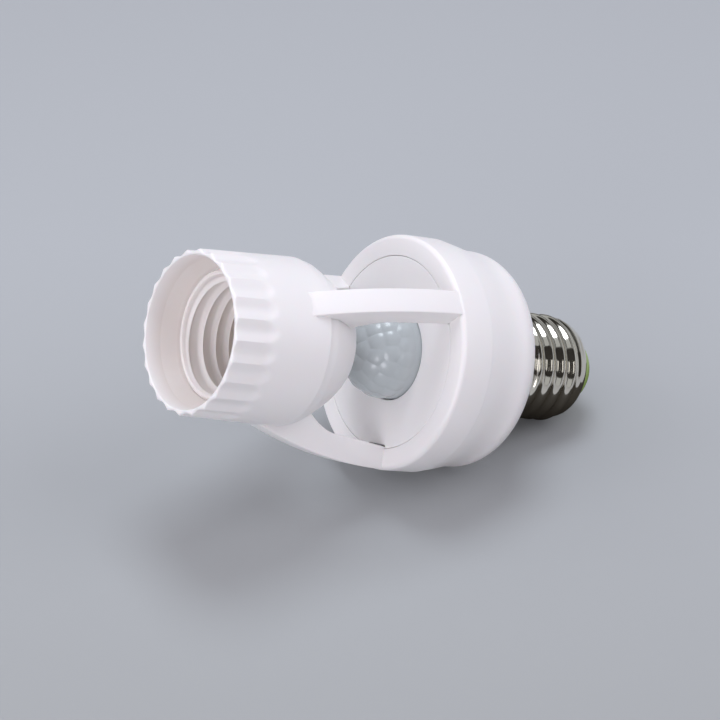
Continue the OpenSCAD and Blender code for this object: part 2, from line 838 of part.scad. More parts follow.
module housing_screws() {
    head_z = ring_face_end - screw_head_t;
    color("silver")
        at_bosses() {
            translate([0, 0, head_z]) cylinder(h = screw_head_t, r = screw_head_r);
            translate([0, 0, head_z]) cylinder(h = screw_l, r = screw_r - 0.2);
        }
}

module cap_shell() {
    rings = thread_rings(cap_thread_z, cap_thread_end);
    lip_t = 0.4;
    roll = arc([cap_end_r, cap_thread_end], cap_root_r - cap_end_r, cap_end_l, 0, 90, 4);
    color([0.78, 0.77, 0.74])
        turned_body([
            for (i = [0 : thread_sides - 1])
                let (turn = 360 * i / thread_sides)
                concat(
                    [[cap_crest_r - 0.25, cap_z], [cap_crest_r, cap_z + 0.25], [cap_crest_r, cap_z + 1.2]],
                    [[cap_root_r, cap_z + 2]],
                    [for (z = rings) [thread_r(z, turn, cap_root_r, cap_crest_r, cap_thread_z, cap_thread_end), z]],
                    [for (j = [1 : len(roll) - 1]) roll[j]],
                    [[cap_end_r, cap_end_z - lip_t], [cap_inner_r, cap_thread_end], [cap_inner_r, cap_z]]
                )
        ]);
}

module cap_insulator() {
    color([0.20, 0.45, 0.32])
        difference() {
            rotate_extrude()
                polygon(concat(
                    [[0, insulator_z], [insulator_r, insulator_z]],
                    arc([tip_r + 0.8, cap_end_z], insulator_r - tip_r - 0.8, insulator_h, 0, 90, 6),
                    [[0, insulator_end]]
                ));
            translate([0, 0, insulator_z - past]) cylinder(h = insulator_h + 4 + past, r = stem_r + fit);
        }
}

module cap_tip() {
    color([0.80, 0.79, 0.75]) {
        translate([0, 0, insulator_end]) cylinder(h = tip_t, r1 = tip_r, r2 = tip_r - 0.5);
        translate([0, 0, insulator_z - 0.5]) cylinder(h = insulator_end - insulator_z + 0.51, r = stem_r);
    }
}

module cap_live_lead() {
    u = 5.1;
    color("firebrick")
        rotate([0, 0, -11])
            lead([[u, power_board_end], [u, spigot_end - 4], [0.9, insulator_z - lead_r - 0.6]], lead_r);
}

module cap_neutral_lead() {
    u = spigot_bore - 2.2;
    end_u = cap_inner_r - fit;
    bend_z = spigot_end + lead_r + 0.2;
    color("dimgray")
        rotate([0, 0, -105.5])
            lead([[u, power_board_end], [u, bend_z], [end_u, bend_z]], lead_r);
}

upper_housing();
back_cap();
thread_insert();
contact_base();
centre_contact();
centre_rivet();
side_contact();
side_rivet();
base_screws();
live_arm_lead();
neutral_arm_lead();
sensor_plate();
sensor_lens();
lens_retainer();
motion_sensor();
light_sensor();
sensor_board();
sensor_chip();
board_pins();
power_board();
relay();
film_capacitor();
filter_capacitor();
varistor();
lower_housing();
housing_screws();
cap_shell();
cap_insulator();
cap_tip();
cap_live_lead();
cap_neutral_lead();
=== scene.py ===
"""Motion sensor lamp holder: the looks of the part, modelled round its fixed construction frame.

Lengths are metres in the part's own frame: the rim of the lamp socket lies in z = 0 and the
screw cap points up +Z. One of the three arms lies over +Y.
"""
import json
import math

import bmesh
import bpy
from bpy.props import FloatProperty, FloatVectorProperty, IntProperty, PointerProperty
from bpy.types import Operator, Panel, PropertyGroup
from mathutils import Matrix, Vector


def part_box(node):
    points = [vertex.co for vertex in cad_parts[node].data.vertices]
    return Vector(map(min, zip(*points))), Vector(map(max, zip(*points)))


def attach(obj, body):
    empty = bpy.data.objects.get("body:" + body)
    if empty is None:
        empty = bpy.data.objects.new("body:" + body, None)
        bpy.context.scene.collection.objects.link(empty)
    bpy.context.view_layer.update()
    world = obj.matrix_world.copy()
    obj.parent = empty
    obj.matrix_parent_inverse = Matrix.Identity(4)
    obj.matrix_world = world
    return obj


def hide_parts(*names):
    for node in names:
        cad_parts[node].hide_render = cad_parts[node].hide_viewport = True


bl_info = {
    "name": "Motion Sensor Lamp Holder",
    "version": (1, 0, 0),
    "blender": (4, 5, 0),
    "location": "View3D > Sidebar > Lamp Holder",
    "description": "Models and finishes a lamp holder with a built-in motion sensor",
    "category": "Object",
}

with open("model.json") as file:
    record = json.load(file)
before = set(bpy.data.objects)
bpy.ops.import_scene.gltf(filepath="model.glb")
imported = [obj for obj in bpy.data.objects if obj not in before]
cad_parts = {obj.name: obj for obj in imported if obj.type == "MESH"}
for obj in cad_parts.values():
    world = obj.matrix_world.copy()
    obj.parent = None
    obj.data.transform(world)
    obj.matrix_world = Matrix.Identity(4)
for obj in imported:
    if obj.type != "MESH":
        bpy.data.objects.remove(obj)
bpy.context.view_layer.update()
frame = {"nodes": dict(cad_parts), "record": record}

MM = 0.001
FIRST_ARM = math.radians(90)
ARM_ANGLES = [FIRST_ARM + math.radians(120) * i for i in range(3)]
SPIN_STEPS = 192


def length(name, description, default):
    """A size in metres that a user may change."""
    return FloatProperty(name=name, description=description, default=default,
                         subtype="DISTANCE", unit="LENGTH", precision=5)


def colour(name, description, default):
    """A finish colour that a user may change."""
    return FloatVectorProperty(name=name, description=description, default=default,
                               subtype="COLOR", size=3, min=0, max=1)


class SocketSizes(PropertyGroup):
    """Sizes of the lamp socket and its back cap."""
    rim_radius: length("Rim radius", "Outer radius of the sleeve at its rim", 18.9 * MM)
    sleeve_radius: length("Sleeve radius", "Outer radius of the sleeve at its rear end", 19.6 * MM)
    sleeve_length: length("Sleeve length", "Length of the sleeve", 25.6 * MM)
    mouth_radius: length("Mouth radius", "Radius of the tapered mouth at the rim", 17.6 * MM)
    step_radius: length("Mouth step radius", "Radius where the mouth's second taper starts", 16.8 * MM)
    step_height: length("Mouth step height", "Distance from the rim to the second taper", 3.7 * MM)
    edge: length("Edge rounding", "Rounding of the sleeve's edges", 0.5 * MM)
    back_edge: length("Rear edge rounding", "Rounding of the sleeve's rear edge", 0.12 * MM)
    flute_count: IntProperty(name="Flutes", description="Grip flutes round the rim", default=24)
    flute_depth: length("Flute depth", "Depth of a grip flute", 0.7 * MM)
    flute_length: length("Flute length", "Length of a grip flute", 11.5 * MM)
    insert_front: length("Insert front", "Distance from the rim to the thread insert", 7.7 * MM)
    insert_radius: length("Insert radius", "Outer radius of the thread insert", 15.2 * MM)
    insert_length: length("Insert length", "Length of the thread insert", 23.3 * MM)
    collar_radius: length("Collar radius", "Radius of the insert's rear collar", 16.7 * MM)
    collar_thickness: length("Collar thickness", "Thickness of the rear collar", 1.6 * MM)
    crest_radius: length("Crest radius", "Radius of the socket thread's crests", 12.35 * MM)
    root_radius: length("Root radius", "Radius of the socket thread's roots", 13.6 * MM)
    thread_length: length("Thread length", "Threaded length of the insert", 16.0 * MM)
    back_radius: length("Back radius", "Radius of the back cap's band", 19.05 * MM)
    back_band: length("Back band", "Length of the back cap's straight band", 2.2 * MM)
    back_flat: length("Back flat", "Radius of the back cap's flat back", 12.2 * MM)
    back_taper: length("Back taper", "Length over which the back cap narrows", 10.4 * MM)
    wall: length("Wall", "Wall of the back cap", 1.4 * MM)


class ArmSizes(PropertyGroup):
    """Sizes of the three arms."""
    width: length("Arm width", "Width of an arm round the axis", 6.0 * MM)
    edge: length("Arm edge", "Rounding of an arm's long edges", 0.3 * MM)
    tip_height: length("Tip height", "Height where an arm runs out on the sleeve", 20.5 * MM)
    reach_height: length("Reach height", "Height where an arm joins the ring's side", 61.0 * MM)
    root_radius: length("Root radius", "Inner edge of an arm at the ring's face", 22.45 * MM)
    flare_radius: length("Flare radius", "Inner edge of an arm where its flare starts", 20.2 * MM)
    flare_height: length("Flare height", "Height where the flare starts", 43.5 * MM)
    gap: length("Arm gap", "Gap between an arm's root and the sensor plate", 0.2 * MM)
    open_gap: length("Open gap", "The same gap at the arm where it stands open", 0.6 * MM)
    toe_radius: length("Toe radius", "Radius where the flare meets the back cap", 15.2 * MM)


class BodySizes(PropertyGroup):
    """Sizes of the sensor body."""
    front: length("Front height", "Height of the sensor body's front face", 57.2 * MM)
    ring_radius: length("Ring radius", "Outer radius of the front ring", 28.0 * MM)
    ring_length: length("Ring length", "Length of the ring's side", 8.8 * MM)
    ring_edge: length("Ring edge", "Rounding of the ring's front edge", 1.2 * MM)
    ring_wall: length("Ring wall", "Wall of the ring's side", 2.1 * MM)
    face_thickness: length("Face thickness", "Thickness of the ring's face", 3.2 * MM)
    plate_radius: length("Plate radius", "Radius of the sensor plate", 22.9 * MM)
    plate_thickness: length("Plate thickness", "Thickness of the sensor plate", 1.6 * MM)
    plate_dish: length("Plate dish", "Depth of the dish round the lens", 1.0 * MM)
    body_radius: length("Body radius", "Radius of the body behind the ring", 26.1 * MM)
    blend: length("Blend", "Length over which the ring blends into the body", 11.0 * MM)
    body_length: length("Body length", "Length from the ring to the rounded edge", 11.8 * MM)
    round_radius: length("Back edge", "Radius of the rounded back edge", 6.0 * MM)
    back_slope: FloatProperty(name="Back slope", description="Slope of the body's back",
                              default=math.radians(33), subtype="ANGLE")
    neck_radius: length("Neck radius", "Radius of the neck under the screw cap", 14.4 * MM)
    neck_length: length("Neck length", "Length of the neck", 0.8 * MM)
    seam: length("Seam", "Hairline between two mouldings", 0.09 * MM)


class LensSizes(PropertyGroup):
    """Sizes of the domed lens."""
    radius: length("Dome radius", "Outer radius of the dome", 11.3 * MM)
    wall: length("Dome wall", "Wall of the dome", 0.7 * MM)
    centre: length("Dome centre", "Height of the dome's centre", 57.0 * MM)
    flange_radius: length("Flange radius", "Radius of the lens flange", 13.2 * MM)
    flange_front: length("Flange front", "Height of the flange's front face", 59.8 * MM)
    flange_back: length("Flange back", "Height of the flange's back face", 60.55 * MM)
    cell_depth: length("Cell depth", "How far a lens cell bulges over its edges", 0.26 * MM)


class CapSizes(PropertyGroup):
    """Sizes of the screw cap."""
    pitch: length("Pitch", "Pitch of the cap and socket threads", 3.629 * MM)
    crest_radius: length("Crest radius", "Radius of the cap thread's crests", 13.1 * MM)
    root_radius: length("Root radius", "Radius of the cap thread's roots", 12.15 * MM)
    inner_radius: length("Inner radius", "Inner radius of the cap shell", 11.5 * MM)
    collar: length("Collar", "Length of the plain collar at the open end", 2.6 * MM)
    end_radius: length("End radius", "Radius of the rolled-in end", 8.6 * MM)
    end_length: length("End length", "Length of the rolled-in end", 3.0 * MM)
    sheet: length("Sheet", "Thickness of the rolled sheet", 0.35 * MM)


class Finishes(PropertyGroup):
    """Colours of the finishes, with one painted shade for the shell inside the socket's mouth."""
    shell: colour("Shell", "Moulded shell", (0.885, 0.858, 0.850))
    # Painted shade: a darker, warmer tint for the shell inside the socket's mouth, standing in for the
    # shade it lies in.
    mouth: colour("Mouth", "Shell inside the socket's mouth", (0.76, 0.70, 0.665))
    insert: colour("Insert", "Thread insert", (0.86, 0.815, 0.79))
    lens: colour("Lens", "Milky lens", (0.57, 0.615, 0.625))
    nickel: colour("Nickel", "Bright nickel plate", (0.82, 0.78, 0.70))
    insulator: colour("Insulator", "Green insulator", (0.30, 0.42, 0.12))
    brass: colour("Brass", "Contact strip", (0.80, 0.60, 0.28))
    floor: colour("Floor", "Pale floor", (0.432, 0.449, 0.462))


def size_group(name):
    """The sizes or colours that the user has set."""
    return getattr(bpy.context.scene, "lamp_holder_" + name)


# Outlines and bmesh helpers

def outline(corners, closed=True, steps=5):
    """Points (radius, height) through corners given as (radius, height, rounding)."""
    points = []
    last = len(corners) - 1
    for i, (r, z, rounding) in enumerate(corners):
        corner = Vector((r, z))
        if rounding == 0 or (not closed and i in (0, last)):
            points.append(corner)
            continue
        back = (Vector(corners[i - 1][:2]) - corner).normalized()
        ahead = (Vector(corners[(i + 1) % len(corners)][:2]) - corner).normalized()
        half = back.angle(ahead) / 2
        centre = corner + (back + ahead).normalized() * (rounding / math.sin(half))
        start = corner + back * (rounding / math.tan(half)) - centre
        end = corner + ahead * (rounding / math.tan(half)) - centre
        turn = math.atan2(start.x * end.y - start.y * end.x, start.dot(end))
        for k in range(steps + 1):
            points.append(centre + Matrix.Rotation(turn * k / steps, 2) @ start)
    return points


def arc(centre_r, centre_z, wide, high, start, end, steps):
    """Points of an ellipse's arc, its turns in degrees."""
    points = []
    for k in range(steps + 1):
        turn = math.radians(start + (end - start) * k / steps)
        points.append(Vector((centre_r + wide * math.cos(turn), centre_z + high * math.sin(turn))))
    return points


def curve(p, q, s, steps):
    """Points of a curve that leaves p towards q and arrives at s."""
    points = []
    for k in range(steps + 1):
        t = k / steps
        points.append(p * (1 - t) ** 2 + q * 2 * t * (1 - t) + s * t * t)
    return points


def divided(points, step):
    """The same outline with extra points, none further apart than step."""
    result = []
    for p, q in zip(points, points[1:] + points[:1]):
        parts = max(1, math.ceil((q - p).length / step))
        result += [p.lerp(q, k / parts) for k in range(parts)]
    return result


def revolved(points, steps=SPIN_STEPS):
    """A closed body made by spinning a closed outline round the axis."""
    bm = bmesh.new()
    verts = [bm.verts.new((p.x, 0, p.y)) for p in points]
    edges = [bm.edges.new((a, b)) for a, b in zip(verts, verts[1:] + verts[:1])]
    bmesh.ops.spin(bm, geom=verts + edges, cent=(0, 0, 0), axis=(0, 0, 1), dvec=(0, 0, 0),
                   angle=math.tau, steps=steps, use_merge=True)
    bmesh.ops.remove_doubles(bm, verts=bm.verts, dist=1e-7)
    loose = [e for e in bm.edges if not e.link_faces]
    bmesh.ops.delete(bm, geom=loose, context="EDGES")
    bmesh.ops.recalc_face_normals(bm, faces=bm.faces)
    return bm


def extruded(points, thickness, angle, rounding=0.0, segments=3):
    """A flat outline (radius, height) made into a bar across the radius at an angle."""
    bm = bmesh.new()
    verts = [bm.verts.new((p.x, -thickness / 2, p.y)) for p in points]
    face = bm.faces.new(verts)
    made = bmesh.ops.extrude_face_region(bm, geom=[face])
    moved = [v for v in made["geom"] if isinstance(v, bmesh.types.BMVert)]
    bmesh.ops.translate(bm, vec=(0, thickness, 0), verts=moved)
    bmesh.ops.recalc_face_normals(bm, faces=bm.faces)
    if rounding:
        rims = [e for e in bm.edges if abs(e.verts[0].co.y - e.verts[1].co.y) < thickness / 2]
        bmesh.ops.bevel(bm, geom=rims, offset=rounding, offset_type="OFFSET", affect="EDGES",
                        segments=segments, profile=0.5, material=-1, clamp_overlap=True)
    bmesh.ops.rotate(bm, cent=(0, 0, 0), matrix=Matrix.Rotation(angle, 3, "Z"), verts=bm.verts)
    return bm


def combined(base, tools, operation):
    """base with the tools added or cut away, as one closed body."""
    for tool in tools:
        objects = []
        for part in (base, tool):
            mesh = bpy.data.meshes.new("combining")
            part.to_mesh(mesh)
            part.free()
            thing = bpy.data.objects.new("combining", mesh)
            bpy.context.collection.objects.link(thing)
            objects.append(thing)
        change = objects[0].modifiers.new("combining", "BOOLEAN")
        change.operation = operation
        change.solver = "EXACT"
        change.object = objects[1]
        bpy.context.view_layer.update()
        base = bmesh.new()
        base.from_object(objects[0], bpy.context.evaluated_depsgraph_get())
        for thing in objects:
            mesh = thing.data
            bpy.data.objects.remove(thing)
            bpy.data.meshes.remove(mesh)
    return base


def piece(name, bm, material, stands_for, body="housing", sharp=32):
    """A finished mesh that rides on a body and stands for a node of the frame."""
    mesh = bpy.data.meshes.new(name)
    bm.to_mesh(mesh)
    bm.free()
    for polygon in mesh.polygons:
        polygon.use_smooth = True
    mesh.set_sharp_from_angle(angle=math.radians(sharp))
    thing = bpy.data.objects.new(name, mesh)
    bpy.context.collection.objects.link(thing)
    mesh.materials.append(material)
    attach(thing, body)
    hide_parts(stands_for)
    return thing


def thread_wave(z, turn, low, high, start, end, pitch, sharpness):
    """Radius of a rounded right-hand thread, fading out at both ends."""
    fade = max(0.0, min(1.0, (z - start) / (0.5 * pitch), (end - z) / (0.5 * pitch)))
    wave = 2 * (0.5 + 0.5 * math.cos(math.tau * z / pitch - turn)) ** sharpness - 1
    return (low + high) / 2 + (high - low) / 2 * (wave * fade - (1 - fade))


def threaded(bm, near_radius, low, high, start, end, pitch, sharpness=1.0):
    """Shapes the wall of a spun body at near_radius into a thread; sharpness narrows its crests."""
    for v in bm.verts:
        radius = math.hypot(v.co.x, v.co.y)
        if abs(radius - near_radius) > 1e-6 or not start - 1e-7 <= v.co.z <= end + 1e-7:
            continue
        turn = math.atan2(v.co.y, v.co.x)
        scale = thread_wave(v.co.z, turn, low, high, start, end, pitch, sharpness) / radius
        v.co.x *= scale
        v.co.y *= scale


# Materials

def node_group(name, inputs, outputs):
    """An empty shader node group with its sockets."""
    group = bpy.data.node_groups.new(name, "ShaderNodeTree")
    for label, kind, value in inputs:
        socket = group.interface.new_socket(label, in_out="INPUT", socket_type=kind)
        socket.default_value = value
    for label, kind in outputs:
        group.interface.new_socket(label, in_out="OUTPUT", socket_type=kind)
    return group


def add(tree, kind, **values):
    """A node with its settings; names of sockets start with in_."""
    node = tree.nodes.new(kind)
    for key, value in values.items():
        if key.startswith("in_"):
            node.inputs[key[3:].replace("_", " ")].default_value = value
        else:
            setattr(node, key, value)
    return node


def mould_group():
    """Tone, roughness and height of a moulded surface: soft flow marks and a fine spark grain."""
    group = node_group(
        "Mould Texture",
        [("Grain Scale", "NodeSocketFloat", 2600.0), ("Roughness", "NodeSocketFloat", 0.35),
         ("Variation", "NodeSocketFloat", 0.06)],
        [("Tone", "NodeSocketFloat"), ("Roughness", "NodeSocketFloat"), ("Height", "NodeSocketFloat")],
    )
    start = group.nodes.new("NodeGroupInput")
    end = group.nodes.new("NodeGroupOutput")
    place = add(group, "ShaderNodeTexCoord")
    flow = add(group, "ShaderNodeTexNoise", in_Scale=45.0, in_Detail=3.0, in_Roughness=0.55)
    grain = add(group, "ShaderNodeTexNoise", in_Detail=2.0, in_Roughness=0.6)
    spread = add(group, "ShaderNodeMath", operation="MULTIPLY_ADD")
    centred = add(group, "ShaderNodeMath", operation="SUBTRACT")
    centred.inputs[1].default_value = 0.5
    links = group.links
    links.new(place.outputs["Object"], flow.inputs["Vector"])
    links.new(place.outputs["Object"], grain.inputs["Vector"])
    links.new(start.outputs["Grain Scale"], grain.inputs["Scale"])
    links.new(flow.outputs["Fac"], centred.inputs[0])
    links.new(centred.outputs[0], spread.inputs[0])
    links.new(start.outputs["Variation"], spread.inputs[1])
    links.new(start.outputs["Roughness"], spread.inputs[2])
    links.new(flow.outputs["Fac"], end.inputs["Tone"])
    links.new(spread.outputs[0], end.inputs["Roughness"])
    links.new(grain.outputs["Fac"], end.inputs["Height"])
    return group


def metal_group():
    """Roughness and height of plated metal: fine lines round the axis and soft stains."""
    group = node_group(
        "Plated Metal",
        [("Line Scale", "NodeSocketFloat", 900.0), ("Roughness", "NodeSocketFloat", 0.18),
         ("Variation", "NodeSocketFloat", 0.12)],
        [("Tone", "NodeSocketFloat"), ("Roughness", "NodeSocketFloat"), ("Height", "NodeSocketFloat")],
    )
    start = group.nodes.new("NodeGroupInput")
    end = group.nodes.new("NodeGroupOutput")
    place = add(group, "ShaderNodeTexCoord")
    stretch = add(group, "ShaderNodeMapping", in_Scale=(0.12, 0.12, 1.0))
    lines = add(group, "ShaderNodeTexNoise", in_Detail=4.0, in_Roughness=0.65)
    stains = add(group, "ShaderNodeTexNoise", in_Scale=160.0, in_Detail=3.0, in_Roughness=0.6)
    spread = add(group, "ShaderNodeMath", operation="MULTIPLY_ADD")
    centred = add(group, "ShaderNodeMath", operation="SUBTRACT")
    centred.inputs[1].default_value = 0.5
    links = group.links
    links.new(place.outputs["Object"], stretch.inputs["Vector"])
    links.new(stretch.outputs["Vector"], lines.inputs["Vector"])
    links.new(place.outputs["Object"], stains.inputs["Vector"])
    links.new(start.outputs["Line Scale"], lines.inputs["Scale"])
    links.new(stains.outputs["Fac"], centred.inputs[0])
    links.new(centred.outputs[0], spread.inputs[0])
    links.new(start.outputs["Variation"], spread.inputs[1])
    links.new(start.outputs["Roughness"], spread.inputs[2])
    links.new(stains.outputs["Fac"], end.inputs["Tone"])
    links.new(spread.outputs[0], end.inputs["Roughness"])
    links.new(lines.outputs["Fac"], end.inputs["Height"])
    return group


GROUPS = {}
MATERIALS = {}


def finish_material(name, tint, group, roughness, variation, scale, bump, contrast=0.04, **sockets):
    """A surface whose tone, roughness and fine relief come from a shared texture group."""
    material = bpy.data.materials.new(name)
    material.use_nodes = True
    tree = material.node_tree
    shader = tree.nodes["Principled BSDF"]
    texture = tree.nodes.new("ShaderNodeGroup")
    texture.node_tree = GROUPS[group]
    texture.inputs[0].default_value = scale
    texture.inputs["Roughness"].default_value = roughness
    texture.inputs["Variation"].default_value = variation
    tone = add(tree, "ShaderNodeMix", data_type="RGBA")
    tone.inputs[6].default_value = (*[c * (1 - contrast) for c in tint], 1)
    tone.inputs[7].default_value = (*[min(1.0, c * (1 + contrast)) for c in tint], 1)
    relief = add(tree, "ShaderNodeBump", in_Strength=bump, in_Distance=0.05 * MM)
    tree.links.new(texture.outputs["Tone"], tone.inputs[0])
    tree.links.new(tone.outputs[2], shader.inputs["Base Color"])
    tree.links.new(texture.outputs["Roughness"], shader.inputs["Roughness"])
    tree.links.new(texture.outputs["Height"], relief.inputs["Height"])
    tree.links.new(relief.outputs["Normal"], shader.inputs["Normal"])
    for key, value in sockets.items():
        shader.inputs[key.replace("_", " ")].default_value = value
    MATERIALS[name] = material
    return material


def painted_mouth_shade(material, tint, socket):
    """Paints shade into a material inside the tapered mouth of the socket: a darker, warmer tint mixed
    into its base colour there stands in for the shade the mouth lies in.
    """
    tree = material.node_tree
    base = tree.nodes["Principled BSDF"].inputs["Base Color"]
    place = add(tree, "ShaderNodeTexCoord")
    flat = add(tree, "ShaderNodeVectorMath", operation="MULTIPLY")
    flat.inputs[1].default_value = (1, 1, 0)
    radius = add(tree, "ShaderNodeVectorMath", operation="LENGTH")
    split = add(tree, "ShaderNodeSeparateXYZ")
    # Painted shade mask: full on the mouth's inner wall past its step, fading out towards the rim and
    # behind the insert's front.
    inside = add(tree, "ShaderNodeMapRange", in_From_Min=socket.mouth_radius,
                 in_From_Max=socket.step_radius)
    near = add(tree, "ShaderNodeMapRange", in_From_Min=socket.insert_front + 1 * MM,
               in_From_Max=socket.insert_front)
    mask = add(tree, "ShaderNodeMath", operation="MULTIPLY")
    # Painted shade: the tint mixed in here darkens and warms the mouth's inner wall.
    mouth_shade_mix = add(tree, "ShaderNodeMix", data_type="RGBA")
    mouth_shade_mix.inputs[7].default_value = (*tint, 1)
    links = tree.links
    links.new(base.links[0].from_socket, mouth_shade_mix.inputs[6])
    links.new(place.outputs["Object"], flat.inputs[0])
    links.new(flat.outputs["Vector"], radius.inputs[0])
    links.new(place.outputs["Object"], split.inputs[0])
    links.new(radius.outputs["Value"], inside.inputs["Value"])
    links.new(split.outputs["Z"], near.inputs["Value"])
    links.new(inside.outputs["Result"], mask.inputs[0])
    links.new(near.outputs["Result"], mask.inputs[1])
    links.new(mask.outputs[0], mouth_shade_mix.inputs[0])
    links.new(mouth_shade_mix.outputs[2], base)


class LAMPHOLDER_OT_finishes(Operator):
    """Make the finishes and dress the frame's own nodes with them"""
    bl_idname = "lamp_holder.finishes"
    bl_label = "Finishes"

    def execute(self, context):
        look = size_group("finishes")
        GROUPS["mould"] = mould_group()
        GROUPS["metal"] = metal_group()
        plastic = dict(group="mould", variation=0.10, scale=2400.0)
        metal = dict(group="metal", variation=0.10, scale=900.0, Metallic=1.0)
        finish_material("shell_plastic", look.shell, roughness=0.34, bump=0.10, contrast=0.015,
                        Subsurface_Weight=0.08, Subsurface_Scale=1.5 * MM, **plastic)
        # Painted shade inside the socket's mouth, mixed into the shell's colour.
        painted_mouth_shade(MATERIALS["shell_plastic"], look.mouth, size_group("socket"))
        finish_material("insert_plastic", look.insert, roughness=0.38, bump=0.10, contrast=0.015,
                        Subsurface_Weight=0.08, Subsurface_Scale=1.5 * MM, **plastic)
        finish_material("milky_lens", look.lens, roughness=0.22, bump=0.05, contrast=0.05,
                        Transmission_Weight=0.15, IOR=1.5, Coat_Weight=0.3, Coat_Roughness=0.10,
                        **plastic)
        finish_material("nickel_plate", look.nickel, roughness=0.09, bump=0.05, **metal)
        finish_material("tip_metal", look.nickel, roughness=0.30, bump=0.20, **metal)
        finish_material("green_insulator", look.insulator, roughness=0.12, bump=0.02, **plastic)
        finish_material("contact_strip", look.brass, roughness=0.22, bump=0.10, **metal)
        finish_material("screw_metal", (0.62, 0.62, 0.64), roughness=0.30, bump=0.15, **metal)
        finish_material("base_moulding", (0.72, 0.68, 0.58), roughness=0.55, bump=0.25, **plastic)
        finish_material("brown_lead", (0.20, 0.07, 0.04), roughness=0.45, bump=0.10, **plastic)
        finish_material("blue_lead", (0.05, 0.12, 0.34), roughness=0.45, bump=0.10, **plastic)
        finish_material("sensor_can_metal", (0.70, 0.68, 0.63), roughness=0.25, bump=0.10, **metal)
        finish_material("light_sensor_coat", (0.55, 0.22, 0.06), roughness=0.40, bump=0.10, **plastic)
        finish_material("board_resist", (0.03, 0.16, 0.08), roughness=0.35, bump=0.20, **plastic)
        finish_material("black_resin", (0.03, 0.03, 0.03), roughness=0.50, bump=0.30, **plastic)
        finish_material("relay_case", (0.03, 0.09, 0.38), roughness=0.30, bump=0.10, **plastic)
        finish_material("film_case", (0.62, 0.38, 0.05), roughness=0.40, bump=0.10, **plastic)
        finish_material("can_sleeve", (0.02, 0.03, 0.08), roughness=0.35, bump=0.10, **plastic)
        finish_material("varistor_coat", (0.05, 0.14, 0.36), roughness=0.40, bump=0.25, **plastic)
        by_slot = {
            "shell_white": "shell_plastic", "insert_white": "insert_plastic",
            "base_ivory": "base_moulding", "contact_brass": "contact_strip",
            "rivet_steel": "screw_metal", "screw_steel": "screw_metal",
            "lead_brown": "brown_lead", "lead_blue": "blue_lead", "lens_milky": "milky_lens",
            "sensor_can": "sensor_can_metal", "photocell_amber": "light_sensor_coat",
            "board_green": "board_resist", "chip_black": "black_resin", "relay_blue": "relay_case",
            "film_yellow": "film_case", "can_sleeve": "can_sleeve", "varistor_blue": "varistor_coat",
            "cap_nickel": "nickel_plate", "insulator_green": "green_insulator",
            "tip_nickel": "tip_metal",
        }
        for entry in frame["record"]["subparts"]:
            node = frame["nodes"][entry["node"]]
            node.data.materials.clear()
            node.data.materials.append(MATERIALS[by_slot[entry["material_slot"]]])
        return {"FINISHED"}


# Pieces

def sleeve_body(socket):
    """The socket sleeve with its tapered mouth and fluted rim."""
    bore = socket.insert_radius + 0.03 * MM
    corners = [
        (socket.rim_radius, 0, socket.edge),
        (socket.sleeve_radius, socket.sleeve_length, socket.back_edge),
        (bore, socket.sleeve_length, 0),
        (bore, socket.insert_front, 0),
        (socket.step_radius, socket.step_height, 0.9 * MM),
        (socket.mouth_radius, 0, 0.35 * MM),
    ]
    bm = revolved(divided(outline(corners), 0.7 * MM), steps=socket.flute_count * 12)
    fade = 3.2 * MM
    for v in bm.verts:
        radius = math.hypot(v.co.x, v.co.y)
        if radius < socket.rim_radius - 0.75 * MM or v.co.z > socket.flute_length:
            continue
        share = (math.atan2(v.co.y, v.co.x) / math.tau * socket.flute_count) % 1.0 * 2 - 1
        scoop = 0.5 * (1 - share ** 2) + 0.5 * (0.5 + 0.5 * math.cos(math.pi * share))
        scoop *= 1 - 0.15 * v.co.z / socket.flute_length
        run_out = max(0.0, (v.co.z - socket.flute_length + fade) / fade) ** 2
        depth = socket.flute_depth * max(0.0, scoop - run_out)
        scale = (radius - depth) / radius
        v.co.x *= scale
        v.co.y *= scale
    return bm


def arm_outline(socket, arms, body):
    """Side view of an arm: an arc outside, a flare at its toe inside."""
    reach = body.ring_radius - 0.25 * MM
    tip = socket.sleeve_radius - 0.3 * MM
    rise = arms.reach_height - arms.tip_height
    gain = reach - tip
    radius = (rise ** 2 + gain ** 2) / (2 * gain)
    points = []
    steps = 40
    for k in range(steps + 1):
        z = arms.tip_height + rise * k / steps
        points.append(Vector((reach - radius + math.sqrt(radius ** 2 - (arms.reach_height - z) ** 2), z)))
    points.append(Vector((body.plate_radius + 0.6 * MM, arms.reach_height)))
    points.append(Vector((body.plate_radius + 0.6 * MM, body.front + body.plate_thickness + 0.1 * MM)))
    points.append(Vector((arms.root_radius, body.front + body.plate_thickness)))
    top = socket.sleeve_length + socket.back_band + socket.back_taper
    points += curve(Vector((arms.flare_radius, arms.flare_height)),
                    Vector((arms.flare_radius - 0.2 * MM, top + 0.8 * MM)),
                    Vector((arms.toe_radius, top - 4 * MM)), 20)
    points.append(Vector((arms.toe_radius, arms.tip_height + 2 * MM)))
    return points


def back_side(socket, grow, end):
    """Side of the back cap, from its band's edge to its flat back at the height end."""
    edge = socket.sleeve_length + socket.back_band
    narrowing = socket.back_radius - socket.back_flat
    return curve(Vector((socket.back_radius + grow, edge)),
                 Vector((socket.back_radius - 0.42 * narrowing + grow, edge + 0.6 * (end - edge))),
                 Vector((socket.back_flat + grow, end)), 24)


def back_outline(socket, grow, wall):
    """Closed half section of the back cap, grown by a margin and filled where wall is 0."""
    low = socket.sleeve_length
    high = low + socket.back_band + socket.back_taper
    points = [Vector((socket.back_radius + grow, low))] + back_side(socket, grow, high + grow)
    points.append(Vector((0, high + grow)))
    if wall:
        points.append(Vector((0, high - wall)))
        points += reversed(back_side(socket, -wall, high - wall))
        points.append(Vector((socket.back_radius - wall, low)))
    else:
        points.append(Vector((0, low)))
    return points


